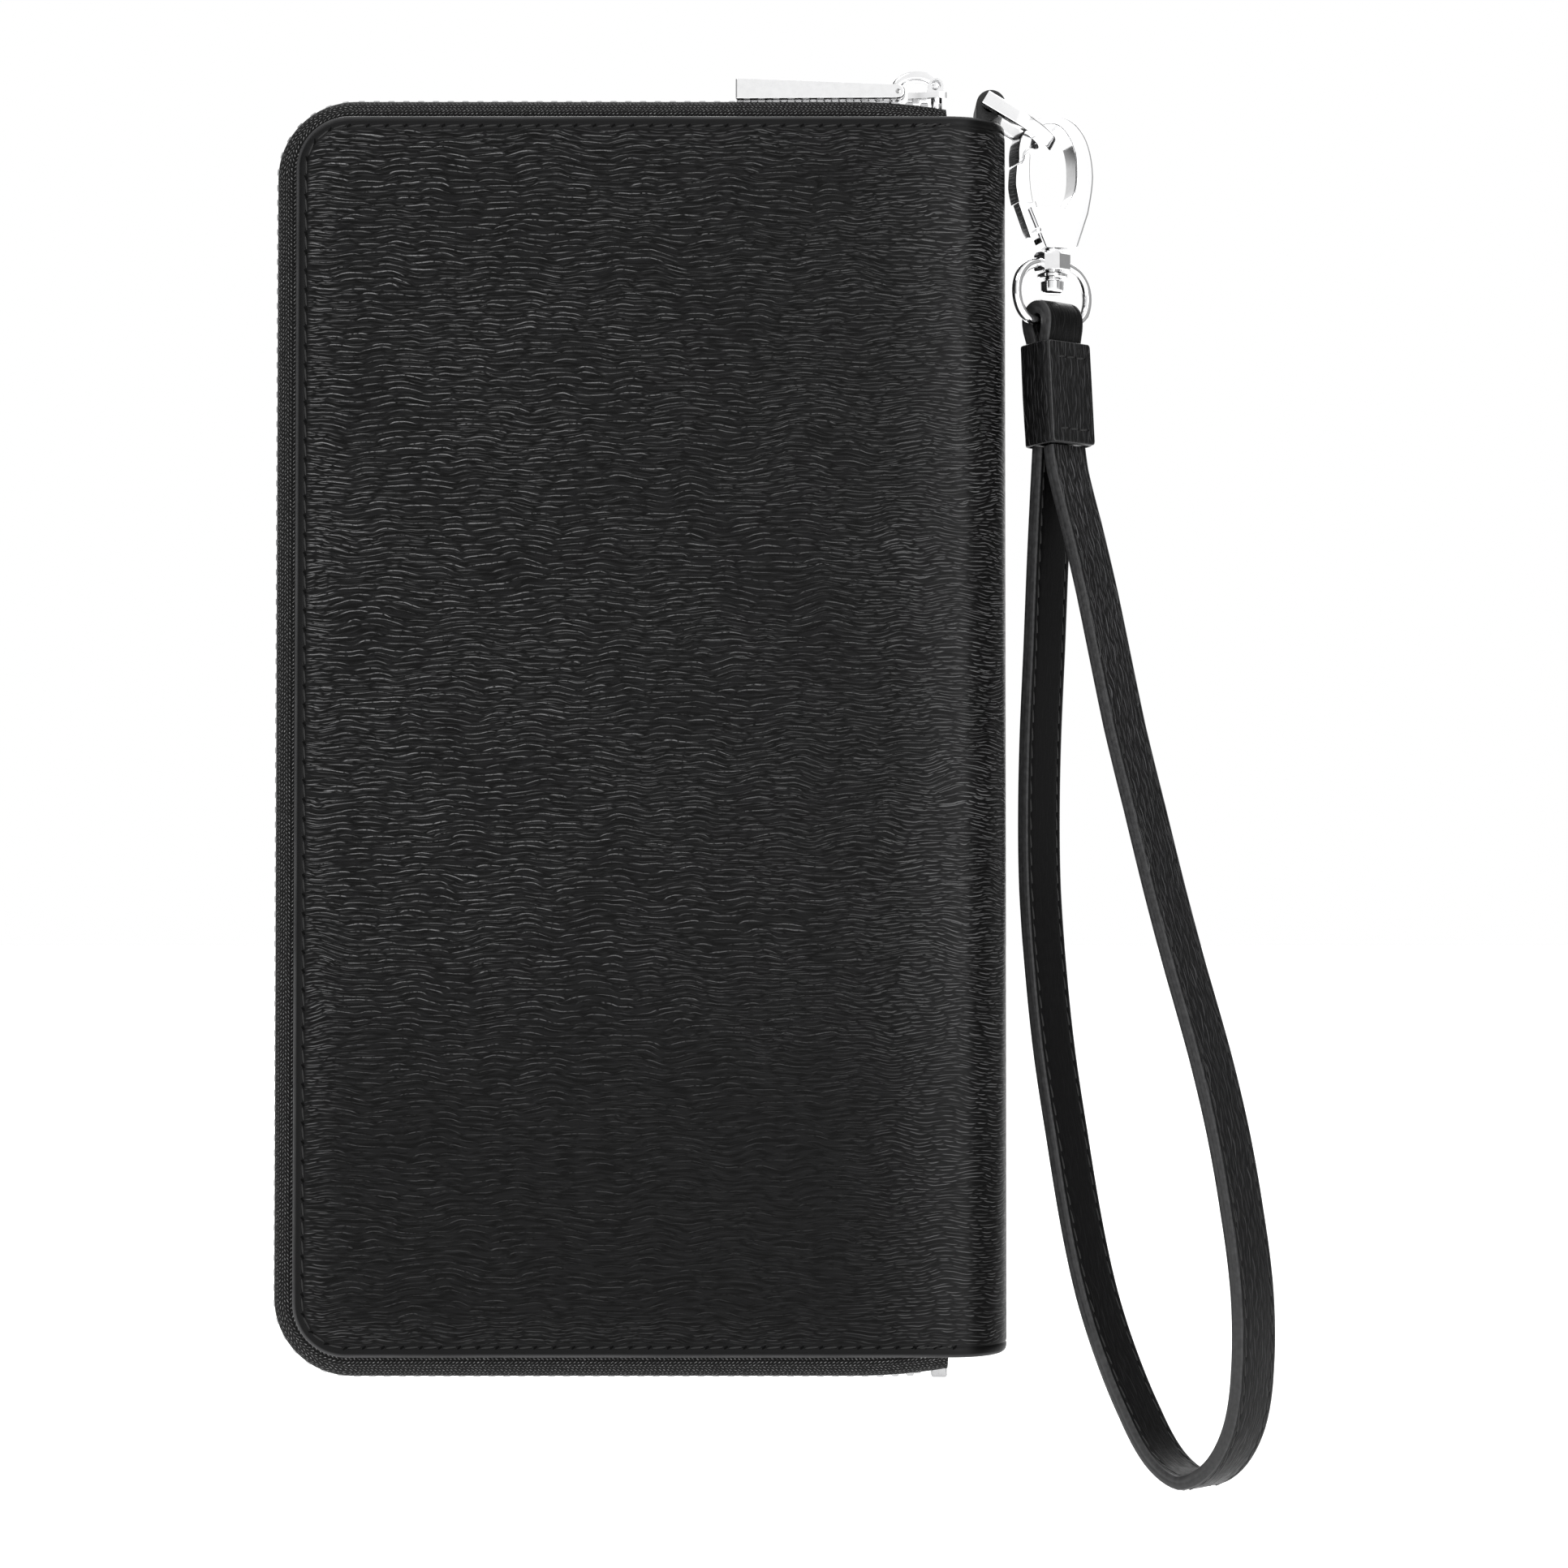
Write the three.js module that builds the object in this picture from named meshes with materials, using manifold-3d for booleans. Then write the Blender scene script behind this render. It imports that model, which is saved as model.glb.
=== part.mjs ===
// A zip-round long wallet with a wrist strap, in millimetres, +Z up.
// The wallet stands upright with its spine at +X. The back cover's flat outer face lies in the
// plane y = 0 with the origin at its centre, and the front cover faces -Y.
// The strap's clasp hangs on a D-ring at the top of the spine.
import * as THREE from 'three';
import { mergeVertices } from 'three/addons/utils/BufferGeometryUtils.js';
import Module from 'manifold-3d';

const wasm = await Module();
wasm.setup();

// ---------------------------------------------------------------- driving dimensions
const WIDTH = 109.6; // from the zip's teeth to the outside of the spine
const HEIGHT = 191.5; // from the zip's teeth at the bottom to those at the top
const THICKNESS = 21; // over both covers
const ZIP_PROUD = 3.8; // how far the teeth stand out of the covers' edges
const SPINE_RADIUS = 8.6; // rounding of the spine, seen from above
const CORNER_RADIUS = 8; // the covers' two corners away from the spine
const CLEARANCE = 0.3; // between pieces that touch on the real wallet

const LEATHER = 1.2;
const BOARD = 1.3;
const LINING = 0.7;
const SHEET = 0.6; // leather of the card panels and the note pocket
const RIM = 3.6; // depth of the covers' turned edge
const CARD_PANELS = 4;
const CARD_STEP = 11; // each card panel shows this much of the one under it
const PANEL_MARGIN = 6; // from the covers' edge to the panels' ends
const PANEL_GAP = 2.2; // from the panels to the spine
const NOTE_MARGIN = 12; // from the covers' edge to the note pocket's opening
const DIVIDER = 2.6; // thickness of the coin pocket, the wallet's middle page

const TOOTH_DEPTH = 1.9; // a tooth's size across the tape
const TOOTH_REACH = 0.5; // how far a tooth stops short of the middle of the zip
const TAPE = 0.5;
const SLIDER_LENGTH = 5.8;

const RING_TILT = 31; // degrees, the D-ring below the horizontal
const RING_BAR = 2.2;
const RING_OUTER = 7.1; // outer radius of its round side
const RING_STRAIGHT = 4.3; // from the bar in the leather loop to the round side's centre
const HOOK_TURN = 14; // degrees, the clasp about the vertical
const HOOK_DEPTH = 5;
const EYE_TURN = 40; // degrees, the swivel eye and the strap about the vertical
const EYE_WIRE = 0.75; // radius of the eye's wire
const STRAP_WIDTH = 7.4;
const STRAP = 2.1; // thickness of the strap, two layers of leather
const STRAP_LEAN = 4; // degrees, the strap's doubled end forward of the vertical

// ---------------------------------------------------------------- places worked out from them
const RIGHT = WIDTH / 2;
const LEFT = -RIGHT + ZIP_PROUD;
const TOP = HEIGHT / 2 - ZIP_PROUD;
const HINGE_X = RIGHT - SPINE_RADIUS; // where the flat covers meet the round spine
const MID_Y = -THICKNESS / 2;
const ZIP_END = HINGE_X - CLEARANCE;
const TEETH_END = HINGE_X - 3; // the rows stop short of the slider's post
const DEPTH = { board: LEATHER + CLEARANCE };
DEPTH.lining = DEPTH.board + BOARD + CLEARANCE;
DEPTH.inside = DEPTH.lining + LINING + CLEARANCE; // first sheet on a cover's lining

// ---------------------------------------------------------------- materials
const MATERIALS = {
  leather: { color: 0x2a2a2b, roughness: 0.5 },
  strapLeather: { color: 0x2c2c2d, roughness: 0.45 },
  lining: { color: 0x232324, roughness: 0.8 },
  board: { color: 0x8a8378, roughness: 0.9 },
  tape: { color: 0x1b1b1c, roughness: 0.9 },
  metal: { color: 0xc9c9cb, roughness: 0.2, metalness: 1 },
  teeth: { color: 0xb4b4b6, roughness: 0.3, metalness: 1 },
};

// ---------------------------------------------------------------- helpers
const radians = THREE.MathUtils.degToRad;
const wallet = new THREE.Group();

function add(parent, name, geometry, material) {
  const mesh = new THREE.Mesh(geometry, new THREE.MeshStandardMaterial(MATERIALS[material]));
  mesh.name = name;
  parent.add(mesh);
  return mesh;
}

function pivot(parent, x, y, z, turn = 0) {
  const group = new THREE.Group();
  group.position.set(x, y, z);
  group.rotation.z = radians(turn);
  parent.add(group);
  return group;
}

// An extrusion of a shape drawn in (x, z), whose back face lies at y = back.
function slab(shape, back, thickness, curveSegments = 6) {
  const geometry = new THREE.ExtrudeGeometry(shape, {
    depth: thickness, bevelEnabled: false, curveSegments,
  });
  return geometry.rotateX(Math.PI / 2).translate(0, back, 0);
}

// An extrusion of a shape drawn in (x, y), from z = low up.
function column(shape, low, height, curveSegments = 6) {
  const geometry = new THREE.ExtrudeGeometry(shape, {
    depth: height, bevelEnabled: false, curveSegments,
  });
  return geometry.translate(0, 0, low);
}

function solid(geometry) {
  const bare = geometry.clone();
  bare.deleteAttribute('normal');
  bare.deleteAttribute('uv');
  const merged = mergeVertices(bare, 1e-4);
  const mesh = new wasm.Mesh({
    numProp: 3,
    vertProperties: new Float32Array(merged.attributes.position.array),
    triVerts: new Uint32Array(merged.index.array),
  });
  return new wasm.Manifold(mesh);
}

function surface(manifold) {
  const mesh = manifold.getMesh();
  const geometry = new THREE.BufferGeometry();
  const corners = new THREE.BufferAttribute(new Float32Array(mesh.vertProperties), 3);
  geometry.setAttribute('position', corners);
  geometry.setIndex([...mesh.triVerts]);
  geometry.computeVertexNormals();
  return geometry;
}

const cut = (from, ...tools) =>
  surface(tools.reduce((body, tool) => body.subtract(solid(tool)), solid(from)));
const join = (...pieces) => surface(pieces.map(solid).reduce((body, piece) => body.add(piece)));

// A rectangle in (x, z) whose two corners on the left are rounded.
function panel(left, right, halfHeight, radius) {
  const shape = new THREE.Shape();
  shape.moveTo(right, -halfHeight);
  shape.lineTo(right, halfHeight);
  shape.lineTo(left + radius, halfHeight);
  shape.absarc(left + radius, halfHeight - radius, radius, Math.PI / 2, Math.PI);
  shape.lineTo(left, -halfHeight + radius);
  shape.absarc(left + radius, -halfHeight + radius, radius, Math.PI, 1.5 * Math.PI);
  return shape;
}

function polygon(points) {
  return new THREE.Shape(points.map(([x, y]) => new THREE.Vector2(x, y)));
}

function box(x0, x1, y0, y1, z0, z1) {
  const geometry = new THREE.BoxGeometry(x1 - x0, y1 - y0, z1 - z0);
  return geometry.translate((x0 + x1) / 2, (y0 + y1) / 2, (z0 + z1) / 2);
}

// A cylinder along y.
function rod(x, z, radius, y0, y1, sides = 12) {
  const geometry = new THREE.CylinderGeometry(radius, radius, y1 - y0, sides);
  return geometry.translate(x, (y0 + y1) / 2, z);
}

// How far behind y = 0 a layer of a cover begins: side is 'back' or 'front'.
function layerBack(side, depth, thickness) {
  return side === 'back' ? -depth : -THICKNESS + depth + thickness;
}

const CORNER_STEPS = 6;

// Stations round the covers' edge from the top by the spine, over the free side, to the bottom.
function edgeStations(right) {
  const stations = [];
  const cx = LEFT + CORNER_RADIUS;
  const cz = TOP - CORNER_RADIUS;
  const run = (x0, z0, x1, z1, nx, nz) => {
    stations.push({ x: x0, z: z0, nx, nz }, { x: x1, z: z1, nx, nz });
  };
  const corner = (z, from) => {
    for (let i = 1; i < CORNER_STEPS; i++) {
      const angle = from + (i / CORNER_STEPS) * (Math.PI / 2);
      const nx = Math.cos(angle);
      const nz = Math.sin(angle);
      stations.push({ x: cx + CORNER_RADIUS * nx, z: z + CORNER_RADIUS * nz, nx, nz });
    }
  };
  run(right, TOP, cx, TOP, 0, 1);
  corner(cz, Math.PI / 2);
  run(LEFT, cz, LEFT, -cz, -1, 0);
  corner(-cz, Math.PI);
  run(cx, -TOP, right, -TOP, 0, -1);
  return stations;
}

// A section of points (out, y), where out is the distance outside the covers' edge, swept
// along stations.
function sweep(points, stations) {
  const positions = [];
  const index = [];
  const clockwise = THREE.ShapeUtils.isClockWise(points.map(([x, y]) => new THREE.Vector2(x, y)));
  const section = clockwise ? [...points].reverse() : points;
  const n = section.length;
  for (const s of stations) {
    for (const [out, y] of section) positions.push(s.x + out * s.nx, y, s.z + out * s.nz);
  }
  for (let i = 0; i + 1 < stations.length; i++) {
    for (let j = 0; j < n; j++) {
      const a = i * n + j;
      const b = i * n + ((j + 1) % n);
      index.push(a, b, a + n, b, b + n, a + n);
    }
  }
  const flat = section.map(([out, y]) => new THREE.Vector2(out, y));
  const last = (stations.length - 1) * n;
  for (const [a, b, c] of THREE.ShapeUtils.triangulateShape(flat, [])) {
    index.push(a, c, b, last + a, last + b, last + c);
  }
  const geometry = new THREE.BufferGeometry();
  geometry.setAttribute('position', new THREE.Float32BufferAttribute(positions, 3));
  geometry.setIndex(index);
  geometry.computeVertexNormals();
  return geometry;
}

// ---------------------------------------------------------------- covers
// Each cover is a leather shell with a turned edge on three sides, a board and a lining.
function cover(side) {
  const outline = panel(LEFT, HINGE_X - CLEARANCE / 2, TOP, CORNER_RADIUS);
  const inset = LEATHER + CLEARANCE;
  const hollow = panel(LEFT + LEATHER, HINGE_X + 1, TOP - LEATHER, CORNER_RADIUS - LEATHER);
  const inner = panel(LEFT + inset, HINGE_X - 1, TOP - inset, CORNER_RADIUS - inset);
  const layer = (shape, depth, thickness) =>
    slab(shape, layerBack(side, depth, thickness), thickness);
  const shell = cut(layer(outline, 0, RIM), layer(hollow, LEATHER, RIM));
  add(wallet, `${side}_leather`, shell, 'leather');
  add(wallet, `${side}_board`, layer(inner, DEPTH.board, BOARD), 'board');
  add(wallet, `${side}_lining`, layer(inner, DEPTH.lining, LINING), 'lining');
}

// Stepped card panels on the back cover, open towards the zip.
function cardPanels() {
  for (let i = 0; i < CARD_PANELS; i++) {
    const left = LEFT + PANEL_MARGIN + i * CARD_STEP;
    const shape = panel(left, HINGE_X - PANEL_GAP, TOP - PANEL_MARGIN, 2);
    const depth = DEPTH.inside + i * (SHEET + CLEARANCE);
    add(wallet, `card_panel_${i + 1}`, slab(shape, -depth, SHEET, 3), 'leather');
  }
}

function notePocket() {
  const shape = panel(LEFT + NOTE_MARGIN, HINGE_X - PANEL_GAP, TOP - PANEL_MARGIN, 3);
  const back = layerBack('front', DEPTH.inside, SHEET);
  add(wallet, 'note_pocket', slab(shape, back, SHEET, 3), 'leather');
}

// ---------------------------------------------------------------- spine
// A leather or lining strip round the spine, seen from above.
function spineStrip(outside, thickness) {
  const x = HINGE_X + CLEARANCE / 2;
  const radius = SPINE_RADIUS - outside;
  const inner = radius - thickness;
  const back = -SPINE_RADIUS;
  const front = -THICKNESS + SPINE_RADIUS;
  const shape = new THREE.Shape();
  shape.moveTo(x, -THICKNESS + outside);
  shape.absarc(HINGE_X, front, radius, -Math.PI / 2, 0);
  shape.absarc(HINGE_X, back, radius, 0, Math.PI / 2);
  shape.lineTo(x, -outside - thickness);
  shape.absarc(HINGE_X, back, inner, Math.PI / 2, 0, true);
  shape.absarc(HINGE_X, front, inner, 0, -Math.PI / 2, true);
  shape.lineTo(x, -THICKNESS + outside + thickness);
  return shape;
}

const RING_X = 52.6; // the D-ring's bar in the leather loop
const RING_Z = 94.9;
const LOOP_BORE = 1.3;
const LOOP_LEATHER = 0.9;
const LOOP_WIDTH = 9;
const LOOP_TAIL = 17; // how far its sewn tails reach down behind the spine
const LINING_MARGIN = 1.5; // the spine's lining stops short of its two ends

function spine() {
  const lining = spineStrip(LEATHER + CLEARANCE, LINING);
  add(wallet, 'spine_leather', column(spineStrip(0, LEATHER), -TOP, 2 * TOP, 8), 'leather');
  const end = TOP - LINING_MARGIN;
  add(wallet, 'spine_lining', column(lining, -end, 2 * end, 6), 'lining');

  const outer = LOOP_BORE + LOOP_LEATHER;
  const tail = [RING_X - outer, RING_X - LOOP_LEATHER];
  const [front, back] = [MID_Y - LOOP_WIDTH / 2, MID_Y + LOOP_WIDTH / 2];
  const head = rod(RING_X, RING_Z, outer, front, back, 16);
  const legs = box(...tail, front, back, RING_Z - LOOP_TAIL, RING_Z);
  const bore = rod(RING_X, RING_Z, LOOP_BORE, front - 1, back + 1, 16);
  add(wallet, 'ring_loop', cut(join(head, legs), bore), 'leather');
}

// ---------------------------------------------------------------- zip
// Distances from the zip's middle plane: teeth, bead, then tape over a shoulder to the cover.
function zipHalf(side) {
  const way = side === 'back' ? 1 : -1;
  const at = (points) => points.map(([out, away]) => [out, MID_Y + way * away]);
  const high = ZIP_PROUD - (TOOTH_DEPTH - TAPE) / 2;
  const low = high - TAPE;
  const flange = THICKNESS / 2 - DEPTH.inside;
  const tape = at([
    [high, 2.4], [high, 4.3], [1.9, 5.9], [0.6, flange], [-3.5, flange],
    [-3.5, flange - TAPE], [0.4, flange - TAPE], [1.5, 5.4], [low, 4.1], [low, 2.4],
  ]);
  const base = 2.1;
  const row = at([
    [ZIP_PROUD, TOOTH_REACH], [ZIP_PROUD, base],
    [ZIP_PROUD - TOOTH_DEPTH, base], [ZIP_PROUD - TOOTH_DEPTH, TOOTH_REACH],
  ]);
  add(wallet, `${side}_zip_tape`, sweep(tape, edgeStations(ZIP_END)), 'tape');
  add(wallet, `${side}_zip_teeth`, sweep(row, edgeStations(TEETH_END)), 'teeth');
}

function zipStop() {
  const stop = box(
    TEETH_END + CLEARANCE, ZIP_END, MID_Y - 2, MID_Y + 2, -HEIGHT / 2 - 0.2, -HEIGHT / 2 + 2.1,
  );
  add(wallet, 'zip_bottom_stop', stop, 'metal');
}

const CROWN = { x: 44.4, z: 98.3 };
const PULL = { x: 38.7, z: 97.3 };
const PIN = 0.5;
const LINK_HALF = 1; // half the link's width
const LINK_BOSS = 1.2; // radius of the link's rounded ends
const EAR = 0.9; // thickness of each ear beside the link
const EAR_RADIUS = 1.15;
const SLIDER_PLATE = 0.9;
const SLIDER_POST = 0.9; // radius of the post between the plates

// Two plates joined by a post; the teeth run between the plates.
function slider() {
  const right = HINGE_X - 0.2;
  const left = right - SLIDER_LENGTH;
  const outline = polygon([
    [left, MID_Y - 3], [left + 1.6, MID_Y - 3.2], [right - 1.5, MID_Y - 4], [right, MID_Y - 3.4],
    [right, MID_Y + 3.4], [right - 1.5, MID_Y + 4], [left + 1.6, MID_Y + 3.2], [left, MID_Y + 3],
  ]);
  const top = HEIGHT / 2 + CLEARANCE;
  const low = HEIGHT / 2 - TOOTH_DEPTH - CLEARANCE;
  const post = new THREE.CylinderGeometry(SLIDER_POST, SLIDER_POST, top - low + 0.4, 10);
  post.rotateX(Math.PI / 2).translate(right - 1.4, MID_Y, (top + low) / 2);
  const ear = (y) => join(
    rod(CROWN.x, CROWN.z, EAR_RADIUS, y, y + EAR, 12),
    box(CROWN.x - EAR_RADIUS, CROWN.x + EAR_RADIUS, y, y + EAR, top + 0.4, CROWN.z),
  );
  const near = MID_Y - LINK_HALF - CLEARANCE - EAR;
  const far = MID_Y + LINK_HALF + CLEARANCE;
  const body = join(
    column(outline, top, SLIDER_PLATE), column(outline, low - SLIDER_PLATE, SLIDER_PLATE),
    post, ear(near), ear(far),
  );
  const hole = rod(CROWN.x, CROWN.z, PIN + CLEARANCE, near - 1, far + EAR + 1, 12);
  add(wallet, 'slider_body', cut(body, hole), 'metal');
  add(wallet, 'crown_pin', rod(CROWN.x, CROWN.z, PIN, near, far + EAR, 10), 'metal');
}

// The arched link from the slider's crown to the pull bar, drawn in (x, z).
function pullerLink() {
  const arch = new THREE.Shape();
  arch.moveTo(CROWN.x + 1.1, CROWN.z);
  arch.quadraticCurveTo(CROWN.x + 0.6, CROWN.z + 2, CROWN.x - 2.6, CROWN.z + 2.2);
  arch.quadraticCurveTo(PULL.x - 1.1, PULL.z + 3, PULL.x - 1.1, PULL.z);
  arch.lineTo(PULL.x + 1, PULL.z);
  arch.quadraticCurveTo(PULL.x + 0.6, PULL.z + 1.8, CROWN.x - 2.6, CROWN.z + 0.9);
  arch.quadraticCurveTo(CROWN.x - 1, CROWN.z + 0.7, CROWN.x - 1.1, CROWN.z);
  const back = MID_Y + LINK_HALF;
  const front = MID_Y - LINK_HALF;
  const boss = ({ x, z }) => rod(x, z, LINK_BOSS, front, back, 12);
  const hole = ({ x, z }) => rod(x, z, PIN + CLEARANCE, front - 1, back + 1, 12);
  const body = join(slab(arch, back, 2 * LINK_HALF, 5), boss(CROWN), boss(PULL));
  add(wallet, 'puller_link', cut(body, hole(CROWN), hole(PULL)), 'metal');
}

const BAR = { length: 24.5, half: 2.6, thick: 3.3, thin: 1.1 }; // thin is half its height at the pin

// A flat bar lying on the teeth, thicker towards its free end, forked round the link.
function pullerBar() {
  const { half, thin } = BAR;
  const low = HEIGHT / 2 + CLEARANCE;
  const free = PULL.x - BAR.length;
  const side = polygon([
    [free, low], [PULL.x, PULL.z - thin], [PULL.x, PULL.z + thin], [free, low + BAR.thick],
  ]);
  const body = join(
    slab(side, MID_Y + half, 2 * half),
    rod(PULL.x, PULL.z, thin, MID_Y - half, MID_Y + half, 12),
  );
  const fork = box(
    PULL.x - 2.2, PULL.x + 2, MID_Y - LINK_HALF - CLEARANCE, MID_Y + LINK_HALF + CLEARANCE,
    low - 1, low + 5,
  );
  const bore = rod(PULL.x, PULL.z, PIN + 0.2, MID_Y - half - 1, MID_Y + half + 1, 12);
  add(wallet, 'puller_bar', cut(body, fork, bore), 'metal');
  add(wallet, 'puller_pin', rod(PULL.x, PULL.z, PIN, MID_Y - half, MID_Y + half, 10), 'metal');
}

// ---------------------------------------------------------------- coin pocket
const COIN_MARGIN = 5.2; // from the covers' edge to the pocket's opening
const COIN_GUSSET = 4;
const COIN_TAPE = 0.5;
const COIN_TEETH = { out: 2.4, in: 1.5, half: 0.8 }; // outside the pocket's edge
const COIN_SLIDER = { out: 3.6, in: 0.3, half: 1.8, length: 7, down: 6 };
const COIN_PULL = { near: 2.1, far: 2.8, length: 15 };

// The middle page: two panels open towards the zip side, with a small zip of its own.
function coinPocket() {
  const half = DIVIDER / 2;
  const left = LEFT + COIN_MARGIN;
  const right = HINGE_X - 1;
  const top = TOP - PANEL_MARGIN;
  const shape = panel(left, right, top, 3);
  add(wallet, 'coin_pocket_back', slab(shape, MID_Y + half, LINING, 3), 'lining');
  add(wallet, 'coin_pocket_front', slab(shape, MID_Y - half + LINING, LINING, 3), 'lining');
  const inner = half - LINING - CLEARANCE;
  const gusset = box(right - COIN_GUSSET, right, MID_Y - inner, MID_Y + inner, -top, top);
  add(wallet, 'coin_pocket_gusset', gusset, 'lining');

  const [front, back] = [MID_Y - COIN_TAPE / 2, MID_Y + COIN_TAPE / 2];
  const tape = box(left - 1.2, left + 4, front, back, -top + 4, top - 4);
  add(wallet, 'coin_zip_tape', tape, 'tape');
  const teeth = box(
    left - COIN_TEETH.out, left - COIN_TEETH.in,
    MID_Y - COIN_TEETH.half, MID_Y + COIN_TEETH.half, -top + 5, top - 5,
  );
  add(wallet, 'coin_zip_teeth', teeth, 'teeth');

  const high = top - COIN_SLIDER.down;
  const block = box(
    left - COIN_SLIDER.out, left - COIN_SLIDER.in,
    MID_Y - COIN_SLIDER.half, MID_Y + COIN_SLIDER.half, high - COIN_SLIDER.length, high,
  );
  const channel = box(
    left - COIN_TEETH.out - CLEARANCE, left,
    MID_Y - COIN_TEETH.half - CLEARANCE, MID_Y + COIN_TEETH.half + CLEARANCE, high - 20, high + 20,
  );
  add(wallet, 'coin_slider', cut(block, channel), 'metal');
  const pull = box(
    left - COIN_SLIDER.out + 0.2, left - COIN_SLIDER.in - 0.3,
    MID_Y - COIN_PULL.far, MID_Y - COIN_PULL.near, high - 2 - COIN_PULL.length, high - 2,
  );
  add(wallet, 'coin_pull', pull, 'metal');
}

// ---------------------------------------------------------------- D-ring
function dRing() {
  const ring = pivot(wallet, RING_X, MID_Y, RING_Z);
  ring.rotation.y = radians(RING_TILT);
  const outer = RING_OUTER;
  const inner = RING_OUTER - RING_BAR;
  const end = -RING_BAR / 2;
  const arch = new THREE.Shape();
  arch.moveTo(end, -outer);
  arch.absarc(RING_STRAIGHT, 0, outer, -Math.PI / 2, Math.PI / 2);
  arch.lineTo(end, outer);
  arch.lineTo(end, inner);
  arch.absarc(RING_STRAIGHT, 0, inner, Math.PI / 2, -Math.PI / 2, true);
  arch.lineTo(end, -inner);
  const bar = rod(0, 0, 1, -inner - 0.5, inner + 0.5, 12);
  add(ring, 'd_ring', join(column(arch, -RING_BAR / 2, RING_BAR, 10), bar), 'metal');
}

// ---------------------------------------------------------------- clasp
// The clasp's own axes: x across, z up, with z = 0 at the top of the hook.
const HOOK_X = 62.1;
const HOOK_Z = 93.6;
const GATE_PIVOT = { x: -2.9, z: -17.4 };

function smooth(shape, points) {
  shape.splineThru(points.map(([x, z]) => new THREE.Vector2(x, z)));
}

function clasp() {
  const group = pivot(wallet, HOOK_X, MID_Y, HOOK_Z, HOOK_TURN);
  const half = HOOK_DEPTH / 2;

  // the hook: its limb, crown and nose, and the base that holds the gate's root
  const outline = new THREE.Shape();
  outline.moveTo(-6.1, -7.4);
  smooth(outline, [
    [-6.1, -5], [-4.9, -1.9], [-1.2, 0.1], [2.3, -0.6], [4.7, -3.4], [5.8, -9], [5, -14.6],
  ]);
  outline.lineTo(3.2, -20);
  outline.lineTo(-1.7, -20);
  outline.lineTo(-4.3, -13.9);
  outline.lineTo(1.2, -13.9);
  smooth(outline, [
    [2.6, -11.6], [3, -8], [2.4, -4], [0.2, -1.4], [-2.4, -1.6], [-3.9, -3.4], [-4.1, -6.1],
  ]);
  const slot = polygon([[-6, -13], [0.9, -13], [0.9, -17.6], [-1.4, -19], [-4, -19.2]]);
  const stud = new THREE.LatheGeometry(
    [[0, -26.6], [1.5, -26.6], [1.8, -26.2], [1.8, -24.6], [1.1, -24.6], [1.1, -19.6], [0, -19.6]]
      .map(([r, z]) => new THREE.Vector2(r, z)), 12,
  ).rotateX(Math.PI / 2);
  const pinHole = rod(GATE_PIVOT.x, GATE_PIVOT.z, 0.8, -half - 1, half + 1, 10);
  const casting = join(slab(outline, half, HOOK_DEPTH, 4), stud);
  add(group, 'hook_body', cut(casting, slab(slot, 1.6, 3.2), pinHole), 'metal');
  add(group, 'gate_pin', rod(GATE_PIVOT.x, GATE_PIVOT.z, 0.5, -half, half, 10), 'metal');

  // the gate: a full-depth blade above the base, and a thin root between the base's cheeks
  const blade = new THREE.Shape();
  blade.moveTo(-6.2, -7.8);
  smooth(blade, [[-6.4, -10.6], [-5.9, -13.2]]);
  blade.lineTo(-3.1, -13.2);
  smooth(blade, [[-3.6, -11], [-3.9, -8.2], [-3.9, -6.7]]);
  const root = polygon([
    [-5.9, -13], [-3.05, -13], [-1.8, -16.6], [-2, -18.2], [-2.9, -18.6], [-3.9, -18.4],
  ]);
  const gateHole = rod(GATE_PIVOT.x, GATE_PIVOT.z, 0.75, -half, half, 10);
  const gate = join(slab(blade, half - 0.2, HOOK_DEPTH - 0.4, 4), slab(root, 1.3, 2.6));
  add(group, 'hook_gate', cut(gate, gateHole), 'metal');

  // the gate's spring, a few turns across the slot behind the root
  const turns = 3;
  const start = -1.35;
  const reach = 2;
  class Coil extends THREE.Curve {
    getPoint(t, target = new THREE.Vector3()) {
      const angle = turns * 2 * Math.PI * t;
      return target.set(start + reach * t, 0.7 * Math.cos(angle), -15.4 + 0.7 * Math.sin(angle));
    }
  }
  const wire = new THREE.Shape().absarc(0, 0, 0.17, 0, 2 * Math.PI);
  const coil = new THREE.ExtrudeGeometry(wire, {
    steps: turns * 8, curveSegments: 3, bevelEnabled: false, extrudePath: new Coil(),
  });
  add(group, 'gate_spring', coil, 'metal');

  const washer = [[1.4, -24.3], [2.3, -24.3], [2.3, -23.6], [1.4, -23.6], [1.4, -24.3]];
  const ring = new THREE.LatheGeometry(washer.map(([r, z]) => new THREE.Vector2(r, z)), 14);
  add(group, 'swivel_washer', ring.rotateX(Math.PI / 2), 'metal');
}

// ---------------------------------------------------------------- swivel eye
const EYE_BAR = -30.9; // the eye's straight lower side, below the top of the hook
const EYE_HALF = 7.4; // half the eye's width at the middle of its wire

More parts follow.
